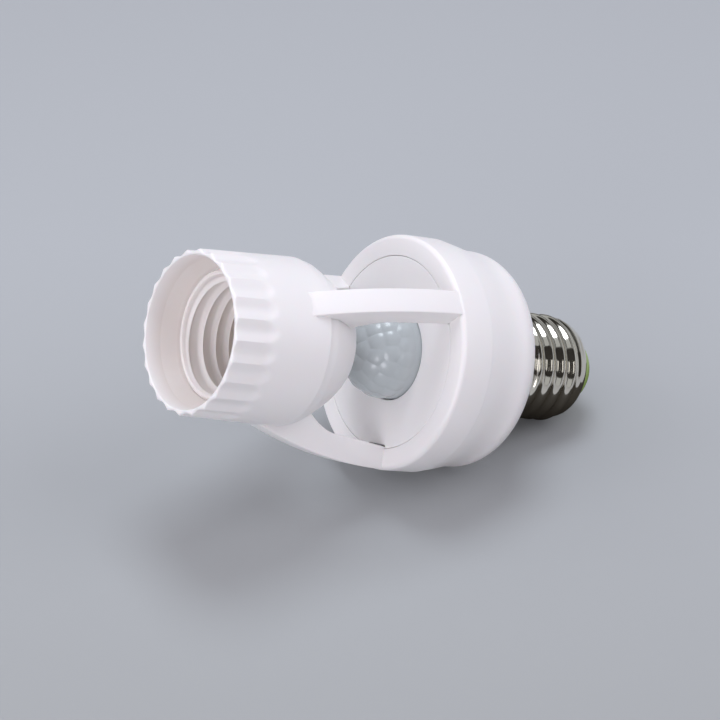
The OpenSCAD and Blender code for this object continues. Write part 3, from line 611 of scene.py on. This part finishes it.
def ring_body(body):
    """The front ring with its side skirt and the ledge that carries the sensor plate."""
    bore = body.plate_radius + body.seam
    ledge = body.front + body.plate_thickness + 0.1 * MM
    face_end = body.front + body.face_thickness
    skirt = body.ring_radius - body.ring_wall
    corners = [
        (bore, body.front, 0.15 * MM),
        (body.ring_radius, body.front, body.ring_edge),
        (body.ring_radius, body.front + body.ring_length, 0.15 * MM),
        (skirt, body.front + body.ring_length, 0),
        (skirt, face_end, 0),
        (bore - 1.4 * MM, face_end, 0),
        (bore - 1.4 * MM, ledge, 0),
        (bore, ledge, 0),
    ]
    return revolved(outline(corners, steps=8))


class LAMPHOLDER_OT_upper_housing(Operator):
    """Make the socket sleeve, the arms and the front ring as one moulding"""
    bl_idname = "lamp_holder.upper_housing"
    bl_label = "Upper housing"

    def execute(self, context):
        socket, arms, body = size_group("socket"), size_group("arms"), size_group("body")
        limbs = []
        clear = socket.sleeve_length
        for angle in ARM_ANGLES:
            arm = extruded(arm_outline(socket, arms, body), arms.width, angle, arms.edge)
            filled = revolved(back_outline(socket, body.seam, 0))
            plug = bmesh.new()
            bmesh.ops.create_cone(plug, cap_ends=True, segments=96, depth=clear,
                                  radius1=socket.insert_radius + 1 * MM,
                                  radius2=socket.insert_radius + 1 * MM,
                                  matrix=Matrix.Translation((0, 0, clear / 2 + 0.01 * MM)))
            limbs.append(combined(arm, [filled, plug], "DIFFERENCE"))
        bm = combined(sleeve_body(socket), limbs, "UNION")
        bm = combined(bm, [ring_body(body)], "UNION")
        piece("upper_shell", bm, MATERIALS["shell_plastic"], "upper_housing")
        return {"FINISHED"}


class LAMPHOLDER_OT_back_cap(Operator):
    """Make the rounded cap behind the lamp socket"""
    bl_idname = "lamp_holder.back_cap"
    bl_label = "Back cap"

    def execute(self, context):
        socket = size_group("socket")
        bm = revolved(back_outline(socket, 0, socket.wall))
        piece("socket_back", bm, MATERIALS["shell_plastic"], "back_cap")
        return {"FINISHED"}


class LAMPHOLDER_OT_thread_insert(Operator):
    """Make the threaded insert of the lamp socket"""
    bl_idname = "lamp_holder.thread_insert"
    bl_label = "Thread insert"

    def execute(self, context):
        socket, cap = size_group("socket"), size_group("cap")
        end = socket.insert_front + socket.insert_length
        thread_start = socket.insert_front + 0.5 * MM
        thread_end = thread_start + socket.thread_length
        rings = math.ceil(socket.thread_length / cap.pitch * 30)
        wall = [Vector((socket.root_radius, thread_end + (thread_start - thread_end) * k / rings))
                for k in range(rings + 1)]
        points = outline([
            (socket.insert_radius, socket.insert_front, 0.03 * MM),
            (socket.insert_radius, socket.sleeve_length, 0),
            (socket.collar_radius, socket.sleeve_length, 0),
            (socket.collar_radius, socket.sleeve_length + socket.collar_thickness, 0),
            (socket.insert_radius, socket.sleeve_length + socket.collar_thickness, 0),
            (socket.insert_radius, end, 0),
            (socket.root_radius - 0.4 * MM, end, 0),
            (socket.root_radius - 0.4 * MM, thread_end + 0.5 * MM, 0),
        ]) + wall + outline([
            (socket.root_radius, thread_start, 0),
            (socket.root_radius + 0.25 * MM, socket.insert_front, 0),
            (socket.root_radius + 0.7 * MM, socket.insert_front, 0),
            (socket.root_radius + 0.8 * MM, socket.insert_front + 0.12 * MM, 0),
            (socket.root_radius + 0.95 * MM, socket.insert_front + 0.12 * MM, 0),
            (socket.root_radius + 1.05 * MM, socket.insert_front, 0),
        ], closed=False)[1:]
        bm = revolved(points, steps=144)
        threaded(bm, socket.root_radius, socket.root_radius, socket.crest_radius,
                 thread_start, thread_end, cap.pitch, sharpness=6.0)
        piece("socket_thread", bm, MATERIALS["insert_plastic"], "thread_insert")
        return {"FINISHED"}


class LAMPHOLDER_OT_sensor_plate(Operator):
    """Make the dished plate round the lens, notched for the arms"""
    bl_idname = "lamp_holder.sensor_plate"
    bl_label = "Sensor plate"

    def execute(self, context):
        arms, body, lens = size_group("arms"), size_group("body"), size_group("lens")
        hole = lens.radius + 0.03 * MM
        collar = lens.flange_radius + 0.1 * MM
        corners = [
            (body.plate_radius, body.front, 0.2 * MM),
            (body.plate_radius, body.front + body.plate_thickness, 0),
            (collar + 1.8 * MM, lens.flange_front, 0),
            (collar + 1.8 * MM, lens.flange_back, 0),
            (collar, lens.flange_back, 0),
            (collar, lens.flange_front, 0),
            (hole, lens.flange_front, 0),
            (hole, body.front + body.plate_dish, 0.3 * MM),
        ]
        cutters = []
        for angle in ARM_ANGLES:
            gap = arms.open_gap if angle == FIRST_ARM else arms.gap
            cutter = bmesh.new()
            bmesh.ops.create_cube(cutter, size=1.0)
            bmesh.ops.scale(cutter, vec=(4 * MM, arms.width + 0.3 * MM, 6 * MM), verts=cutter.verts)
            bmesh.ops.translate(cutter, vec=(arms.root_radius - gap + 2 * MM, 0, body.front),
                                verts=cutter.verts)
            bmesh.ops.rotate(cutter, cent=(0, 0, 0), matrix=Matrix.Rotation(angle, 3, "Z"),
                             verts=cutter.verts)
            cutters.append(cutter)
        bm = combined(revolved(outline(corners)), cutters, "DIFFERENCE")
        piece("sensor_face", bm, MATERIALS["shell_plastic"], "sensor_plate")
        return {"FINISHED"}


def cell_centres():
    """Directions of the lens cells: one at the pole and rings of them round it."""
    centres = [Vector((0, 0, -1))]
    for tilt, count, start in ((20, 6, 0), (39, 12, 10), (58, 16, 0), (77, 19, 6)):
        for k in range(count):
            turn = math.radians(start + 360 * k / count)
            side = math.sin(math.radians(tilt))
            centres.append(Vector((side * math.cos(turn), side * math.sin(turn),
                                   -math.cos(math.radians(tilt)))))
    return centres


class LAMPHOLDER_OT_lens(Operator):
    """Make the milky dome with its lens cells"""
    bl_idname = "lamp_holder.lens"
    bl_label = "Lens"

    def execute(self, context):
        lens = size_group("lens")
        inner = lens.radius - lens.wall
        points = arc(0, lens.centre, lens.radius, lens.radius, -90, 0, 64)
        points += [Vector((lens.radius, lens.flange_front)),
                   Vector((lens.flange_radius, lens.flange_front)),
                   Vector((lens.flange_radius, lens.flange_back)),
                   Vector((inner, lens.flange_back))]
        points += arc(0, lens.centre, inner, inner, 0, -90, 32)
        bm = revolved(points, steps=256)
        centres = cell_centres()
        middle = Vector((0, 0, lens.centre))
        for v in bm.verts:
            out = v.co - middle
            if out.length < lens.radius - 0.1 * MM or v.co.z > lens.centre:
                continue
            direction = out.normalized()
            off_centre = min(direction.angle(c) for c in centres)
            sink = lens.cell_depth * min(1.3, (off_centre / math.radians(10.5)) ** 2)
            v.co = middle + direction * (out.length - sink)
        piece("lens_dome", bm, MATERIALS["milky_lens"], "sensor_lens")
        return {"FINISHED"}


class LAMPHOLDER_OT_lower_housing(Operator):
    """Make the bowl behind the ring with its sloped back and neck"""
    bl_idname = "lamp_holder.lower_housing"
    bl_label = "Lower housing"

    def execute(self, context):
        body, cap = size_group("body"), size_group("cap")
        start = body.front + body.ring_length
        round_z = start + body.body_length
        turn = 90 - math.degrees(body.back_slope)
        side = []
        for k in range(21):
            t = k / 20
            step = body.ring_radius - body.seam - body.body_radius
            swell = step * (0.5 * (1 - t) ** 1.6 + 0.25 * (1 + math.cos(math.pi * t)))
            side.append(Vector((body.body_radius + swell, start + body.blend * t)))
        centre_r = body.body_radius - body.round_radius
        edge = arc(centre_r, round_z, body.round_radius, body.round_radius, 0, turn, 16)
        slope_end = edge[-1]
        neck_z = slope_end.y + (slope_end.x - body.neck_radius) * math.tan(body.back_slope)
        cap_z = neck_z + body.neck_length
        spigot = cap.inner_radius - 0.1 * MM
        spigot_end = cap_z + 16 * MM
        bore = spigot - 1.6 * MM
        lip = body.ring_radius - body.ring_wall - 0.1 * MM
        points = side + edge + outline([
            (centre_r, neck_z, 0),
            (body.neck_radius, neck_z, 0.4 * MM),
            (body.neck_radius, cap_z, 0.3 * MM),
            (spigot, cap_z, 0),
            (spigot, spigot_end, 0),
            (bore, spigot_end, 0),
            (bore, cap_z, 0),
            (centre_r, round_z + 2.5 * MM, 0),
            (lip - 2 * MM, round_z, 0),
            (lip - 2 * MM, start - 3 * MM, 0),
            (lip, start - 3 * MM, 0),
            (lip, start, 0),
        ], closed=False)[1:]
        bm = revolved(points)
        piece("lower_shell", bm, MATERIALS["shell_plastic"], "lower_housing")
        return {"FINISHED"}


class LAMPHOLDER_OT_cap_shell(Operator):
    """Make the rolled screw cap"""
    bl_idname = "lamp_holder.cap_shell"
    bl_label = "Cap shell"

    def execute(self, context):
        cap = size_group("cap")
        low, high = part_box("cap_shell")
        start = low.z + cap.collar
        end = high.z - cap.end_length
        rings = math.ceil((end - start) / cap.pitch * 18)
        wall = [Vector((cap.root_radius, start + (end - start) * k / rings)) for k in range(rings + 1)]
        roll = arc(cap.end_radius, end, cap.root_radius - cap.end_radius, cap.end_length, 0, 90, 8)
        points = [
            Vector((cap.crest_radius - 0.25 * MM, low.z)),
            Vector((cap.crest_radius - 0.05 * MM, low.z + 0.1 * MM)),
            Vector((cap.crest_radius, low.z + 0.3 * MM)),
            Vector((cap.crest_radius, low.z + 1.1 * MM)),
            Vector((cap.crest_radius - 0.25 * MM, low.z + 1.5 * MM)),
            Vector((cap.root_radius + 0.1 * MM, low.z + 2.0 * MM)),
        ] + wall + roll[1:] + [
            Vector((cap.end_radius, high.z - 0.4 * MM)),
            Vector((cap.inner_radius, end)),
            Vector((cap.inner_radius, low.z)),
        ]
        bm = revolved(points, steps=144)
        threaded(bm, cap.root_radius, cap.root_radius, cap.crest_radius, start, end, cap.pitch)
        piece("screw_shell", bm, MATERIALS["nickel_plate"], "cap_shell")
        return {"FINISHED"}


class LAMPHOLDER_OT_cap_end(Operator):
    """Make the green insulator and the centre contact of the screw cap"""
    bl_idname = "lamp_holder.cap_end"
    bl_label = "Cap end"

    def execute(self, context):
        low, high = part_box("cap_insulator")
        cap = size_group("cap")
        tip_low, tip_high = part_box("cap_tip")
        tip_radius = tip_high.x
        shell_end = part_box("cap_shell")[1].z
        reach = cap.end_radius - 0.1 * MM
        inner = tip_radius + 0.8 * MM
        points = [Vector((1.3 * MM, low.z)), Vector((reach, low.z))]
        points += arc(inner, shell_end, reach - inner, high.z - shell_end, 0, 90, 16)
        points.append(Vector((1.3 * MM, high.z)))
        piece("cap_glass", revolved(points), MATERIALS["green_insulator"], "cap_insulator")
        thick = tip_high.z - high.z
        points = outline([
            (0, tip_low.z, 0), (1.2 * MM, tip_low.z, 0), (1.2 * MM, high.z, 0),
            (tip_radius, high.z, 0.1 * MM), (tip_radius - 0.3 * MM, high.z + thick * 0.8, 0.3 * MM),
            (tip_radius * 0.4, tip_high.z, 0.3 * MM), (0, tip_high.z, 0),
        ])
        piece("cap_button", revolved(points), MATERIALS["tip_metal"], "cap_tip")
        return {"FINISHED"}


# Stage

class StageSettings(PropertyGroup):
    """Where the photograph was taken from, and its light."""
    heading: FloatProperty(name="Heading", description="Turn of the view round the axis",
                           default=math.radians(177.466), subtype="ANGLE")
    pitch: FloatProperty(name="Pitch", description="Rise of the view towards the screw cap",
                         default=math.radians(37.63), subtype="ANGLE")
    roll: FloatProperty(name="Roll", description="Turn of the camera about its view",
                        default=math.radians(95.50), subtype="ANGLE")
    place: FloatVectorProperty(name="Place", description="Place of the camera",
                               default=(0.52085, -0.02049, -0.35275), subtype="TRANSLATION",
                               unit="LENGTH", size=3)
    lens: FloatProperty(name="Lens", description="Focal length in millimetres", default=140.1,
                        subtype="DISTANCE_CAMERA")
    floor_tilt: FloatProperty(name="Floor tilt", description="Camera's height angle over the floor",
                              default=math.radians(34.3), subtype="ANGLE")
    key_power: FloatProperty(name="Key light", description="Power of the main light", default=2.0,
                             subtype="POWER", unit="POWER")
    fill_power: FloatProperty(name="Fill light", description="Power of the fill light", default=1.1,
                              subtype="POWER", unit="POWER")
    low_power: FloatProperty(name="Low light", description="Power of the low front light",
                             default=2.15, subtype="POWER", unit="POWER")
    side_power: FloatProperty(name="Side light", description="Power of the light over the body",
                              default=1.35, subtype="POWER", unit="POWER")
    strip_power: FloatProperty(name="Strip lights", description="Power of each strip by the camera",
                               default=0.09, subtype="POWER", unit="POWER")
    ambient: FloatProperty(name="Ambient", description="Strength of the ambient light", default=0.41,
                           subtype="FACTOR")


def camera_axes(stage):
    """Right, up and forward of the photograph's camera."""
    level = math.cos(stage.pitch)
    forward = Vector((math.cos(stage.heading) * level, math.sin(stage.heading) * level,
                      math.sin(stage.pitch)))
    side = forward.cross(Vector((0, 0, 1))).normalized()
    above = side.cross(forward)
    right = side * math.cos(stage.roll) + above * math.sin(stage.roll)
    up = right.cross(forward)
    return right, up, forward


def facing(outward, above):
    """Turn of a flat card whose back points outward and whose upper edge points above."""
    wide = above.cross(outward).normalized()
    return Matrix((wide, outward.cross(wide), outward)).transposed()


def area_light(name, power, size, place, target, tint=(1, 1, 1)):
    """A soft round lamp aimed at a point."""
    lamp = bpy.data.lights.new(name, "AREA")
    lamp.energy = power
    lamp.shape = "DISK"
    lamp.size = size
    lamp.color = tint
    thing = bpy.data.objects.new(name, lamp)
    bpy.context.collection.objects.link(thing)
    thing.location = place
    thing.rotation_mode = "QUATERNION"
    thing.rotation_quaternion = (target - place).to_track_quat("-Z", "Y")
    return thing


class LAMPHOLDER_OT_stage(Operator):
    """Set the camera, the pale floor and the soft studio light"""
    bl_idname = "lamp_holder.stage"
    bl_label = "Stage"

    def execute(self, context):
        stage = size_group("stage")
        look = size_group("finishes")
        scene = context.scene
        scene.view_settings.view_transform = "Standard"
        right, up, forward = camera_axes(stage)
        lens = bpy.data.cameras.new("camera")
        lens.lens = stage.lens
        lens.sensor_width = 36.0
        lens.clip_start = 0.01
        lens.clip_end = 20.0
        camera = bpy.data.objects.new("camera", lens)
        scene.collection.objects.link(camera)
        camera.location = stage.place
        camera.rotation_mode = "QUATERNION"
        camera.rotation_quaternion = Matrix((right, up, -forward)).transposed().to_quaternion()
        scene.camera = camera

        sky = up * math.cos(stage.floor_tilt) - forward * math.sin(stage.floor_tilt)
        corners = [v.co for name in ("upper_shell", "lower_shell", "screw_shell")
                   for v in bpy.data.objects[name].data.vertices]
        level = min(c.dot(sky) for c in corners)
        middle = Vector((0, 0, 0.06))
        across = right - sky * right.dot(sky)
        across.normalize()
        away = sky.cross(across)
        bm = bmesh.new()
        bmesh.ops.create_grid(bm, x_segments=1, y_segments=1, size=2.0)
        mesh = bpy.data.meshes.new("floor")
        bm.to_mesh(mesh)
        bm.free()
        floor = bpy.data.objects.new("floor", mesh)
        scene.collection.objects.link(floor)
        foot = middle - sky * (middle.dot(sky) - level)
        floor.matrix_world = Matrix.Translation(foot) @ Matrix((across, away, sky)).transposed().to_4x4()
        floor.data.materials.append(self.floor_material(look.floor))

        area_light("key light", stage.key_power, 0.36,
                   foot + sky * 0.75 + away * 0.17, middle, (0.93, 1.0, 1.09))
        area_light("fill light", stage.fill_power, 0.60,
                   middle + (sky * 0.45 - across * 0.75 - away * 0.15).normalized() * 0.75, middle,
                   (0.98, 1.0, 1.06))
        area_light("low light", stage.low_power, 0.50,
                   middle + (sky * 0.10 - across * 0.45 - away * 0.85).normalized() * 0.75, middle,
                   (1.0, 0.99, 1.06))
        side_light = area_light("side light", stage.side_power, 0.60,
                                middle + (right * 0.65 + up * 0.45 - forward * 0.5).normalized() * 0.8,
                                middle, (0.99, 0.99, 1.06))
        side_light.visible_glossy = False
        for turn in (-24, 0, 24, 50):
            side = math.radians(turn)
            toward = right * math.sin(side) - forward * math.cos(side)
            strip = area_light("strip light", stage.strip_power, 0.07, middle + toward * 0.6, middle)
            strip.rotation_quaternion = facing(toward, up).to_quaternion()
            strip.data.shape = "RECTANGLE"
            strip.data.size_y = 0.22
            strip.visible_diffuse = False
        front = (right * 0.42 - forward * 0.9 + up * 0.14).normalized()
        self.flag("front_flag", middle + front * 0.75, facing(front, up), 1.7, 0.85)
        # Painted shadow: a dark card lying just over the floor beside the screw cap, seen only in
        # reflections, stands in for the floor's shadow as the cap reflects it.
        beside = Vector((0, 0, 110 * MM))
        beside += sky * (level + 1.5 * MM - beside.dot(sky)) - away * 22 * MM
        self.flag("low_flag", beside, facing(sky, away), 60 * MM, 80 * MM)
        for k, (low, high) in enumerate(((54, 62), (70, 80), (92, 104))):
            self.hoop("hoop_%d" % k, Vector((0, 0, 103 * MM)), 0.5, low, high)
        self.world(scene, stage, look.floor, sky)
        return {"FINISHED"}

    def flag(self, name, place, turn, width, height):
        """A flat dark card."""
        bm = bmesh.new()
        bmesh.ops.create_grid(bm, x_segments=1, y_segments=1, size=0.5)
        bmesh.ops.scale(bm, vec=(width, height, 1), verts=bm.verts)
        self.dark_card(name, bm, Matrix.Translation(place) @ turn.to_4x4())

    def hoop(self, name, centre, radius, low, high):
        """A dark hoop round the axis, between two angles from +Z in degrees."""
        bm = bmesh.new()
        ends = [bm.verts.new((radius, 0, radius / math.tan(math.radians(a)))) for a in (low, high)]
        edge = bm.edges.new(ends)
        bmesh.ops.spin(bm, geom=ends + [edge], cent=(0, 0, 0), axis=(0, 0, 1), dvec=(0, 0, 0),
                       angle=math.tau, steps=96, use_merge=True)
        self.dark_card(name, bm, Matrix.Translation(centre))

    def dark_card(self, name, bm, place):
        """A dark card that only shows in bright surfaces: a studio flag, or a painted shadow where it
        lies on the floor.
        """
        mesh = bpy.data.meshes.new(name)
        bm.to_mesh(mesh)
        bm.free()
        card = bpy.data.objects.new(name, mesh)
        bpy.context.collection.objects.link(card)
        card.matrix_world = place
        card.visible_camera = False
        card.visible_diffuse = False
        card.visible_transmission = False
        card.visible_shadow = False
        material = bpy.data.materials.get("dark_card") or bpy.data.materials.new("dark_card")
        material.use_nodes = True
        shader = material.node_tree.nodes["Principled BSDF"]
        shader.inputs["Base Color"].default_value = (0.03, 0.026, 0.02, 1)
        shader.inputs["Roughness"].default_value = 0.9
        mesh.materials.append(material)

    def floor_material(self, tint):
        """A matt floor that shows only its upper side, so that views from below see past it."""
        material = bpy.data.materials.new("pale_floor")
        material.use_nodes = True
        tree = material.node_tree
        shader = tree.nodes["Principled BSDF"]
        # Painted shade: the floor's colour grows darker and warmer towards its near side, standing in for
        # the lamps' light falling off there.
        place = add(tree, "ShaderNodeTexCoord")
        split = add(tree, "ShaderNodeSeparateXYZ")
        depth = add(tree, "ShaderNodeMapRange")
        depth.inputs["From Min"].default_value = -0.16
        depth.inputs["From Max"].default_value = 0.10
        shade = add(tree, "ShaderNodeMix", data_type="RGBA")
        shade.inputs[6].default_value = (tint[0] * 0.81, tint[1] * 0.80, tint[2] * 0.77, 1)
        shade.inputs[7].default_value = (*tint, 1)
        tree.links.new(place.outputs["Object"], split.inputs[0])
        tree.links.new(split.outputs["Y"], depth.inputs["Value"])
        tree.links.new(depth.outputs["Result"], shade.inputs[0])
        tree.links.new(shade.outputs[2], shader.inputs["Base Color"])
        shader.inputs["Roughness"].default_value = 0.75
        shader.inputs["Specular IOR Level"].default_value = 0.2
        side = add(tree, "ShaderNodeNewGeometry")
        clear = add(tree, "ShaderNodeBsdfTransparent")
        mix = add(tree, "ShaderNodeMixShader")
        out = tree.nodes["Material Output"]
        tree.links.new(side.outputs["Backfacing"], mix.inputs[0])
        tree.links.new(shader.outputs[0], mix.inputs[1])
        tree.links.new(clear.outputs[0], mix.inputs[2])
        tree.links.new(mix.outputs[0], out.inputs[0])
        return material

    def world(self, scene, stage, tint, sky):
        """Soft light from all sides, brighter from above, and a plain backdrop for the camera."""
        world = bpy.data.worlds.new("studio")
        scene.world = world
        world.use_nodes = True
        tree = world.node_tree
        tree.nodes.clear()
        out = add(tree, "ShaderNodeOutputWorld")
        direction = add(tree, "ShaderNodeTexCoord")
        height = add(tree, "ShaderNodeVectorMath", operation="DOT_PRODUCT")
        height.inputs[1].default_value = sky
        ramp = add(tree, "ShaderNodeMapRange")
        ramp.inputs["From Min"].default_value = -1.0
        ramp.inputs["From Max"].default_value = 1.0
        ramp.inputs["To Min"].default_value = stage.ambient * 0.7
        ramp.inputs["To Max"].default_value = stage.ambient * 1.5
        light = add(tree, "ShaderNodeBackground", in_Color=(1.02, 0.99, 1.08, 1))
        backdrop = add(tree, "ShaderNodeBackground", in_Color=(*tint, 1), in_Strength=1.0)
        ray = add(tree, "ShaderNodeLightPath")
        seen = add(tree, "ShaderNodeMath", operation="ADD")
        shown = add(tree, "ShaderNodeMath", operation="ADD", use_clamp=True)
        mix = add(tree, "ShaderNodeMixShader")
        tree.links.new(direction.outputs["Generated"], height.inputs[0])
        tree.links.new(height.outputs["Value"], ramp.inputs["Value"])
        tree.links.new(ramp.outputs["Result"], light.inputs["Strength"])
        tree.links.new(ray.outputs["Is Camera Ray"], seen.inputs[0])
        tree.links.new(ray.outputs["Is Glossy Ray"], seen.inputs[1])
        tree.links.new(seen.outputs[0], shown.inputs[0])
        tree.links.new(ray.outputs["Is Transmission Ray"], shown.inputs[1])
        tree.links.new(shown.outputs[0], mix.inputs[0])
        tree.links.new(light.outputs[0], mix.inputs[1])
        tree.links.new(backdrop.outputs[0], mix.inputs[2])
        tree.links.new(mix.outputs[0], out.inputs[0])


STEPS = (
    LAMPHOLDER_OT_finishes, LAMPHOLDER_OT_upper_housing, LAMPHOLDER_OT_back_cap,
    LAMPHOLDER_OT_thread_insert, LAMPHOLDER_OT_sensor_plate, LAMPHOLDER_OT_lens,
    LAMPHOLDER_OT_lower_housing, LAMPHOLDER_OT_cap_shell, LAMPHOLDER_OT_cap_end,
    LAMPHOLDER_OT_stage,
)
SETTINGS = {
    "socket": SocketSizes, "arms": ArmSizes, "body": BodySizes, "lens": LensSizes,
    "cap": CapSizes, "finishes": Finishes, "stage": StageSettings,
}


class LAMPHOLDER_PT_panel(Panel):
    """Lists the pieces of the lamp holder and their sizes"""
    bl_idname = "LAMPHOLDER_PT_panel"
    bl_label = "Lamp Holder"
    bl_space_type = "VIEW_3D"
    bl_region_type = "UI"
    bl_category = "Lamp Holder"

    def draw(self, context):
        for step in STEPS:
            self.layout.operator(step.bl_idname)
        for name, group in SETTINGS.items():
            box = self.layout.box()
            box.label(text=group.__doc__)
            for key in group.__annotations__:
                box.prop(size_group(name), key)


CLASSES = (*SETTINGS.values(), *STEPS, LAMPHOLDER_PT_panel)


def register():
    for item in CLASSES:
        bpy.utils.register_class(item)
    for name, group in SETTINGS.items():
        setattr(bpy.types.Scene, "lamp_holder_" + name, PointerProperty(type=group))


def unregister():
    for name in SETTINGS:
        delattr(bpy.types.Scene, "lamp_holder_" + name)
    for item in reversed(CLASSES):
        bpy.utils.unregister_class(item)


def main():
    register()
    for step in STEPS:
        group, name = step.bl_idname.split(".")
        getattr(getattr(bpy.ops, group), name)()


if __name__ == "__main__":
    main()
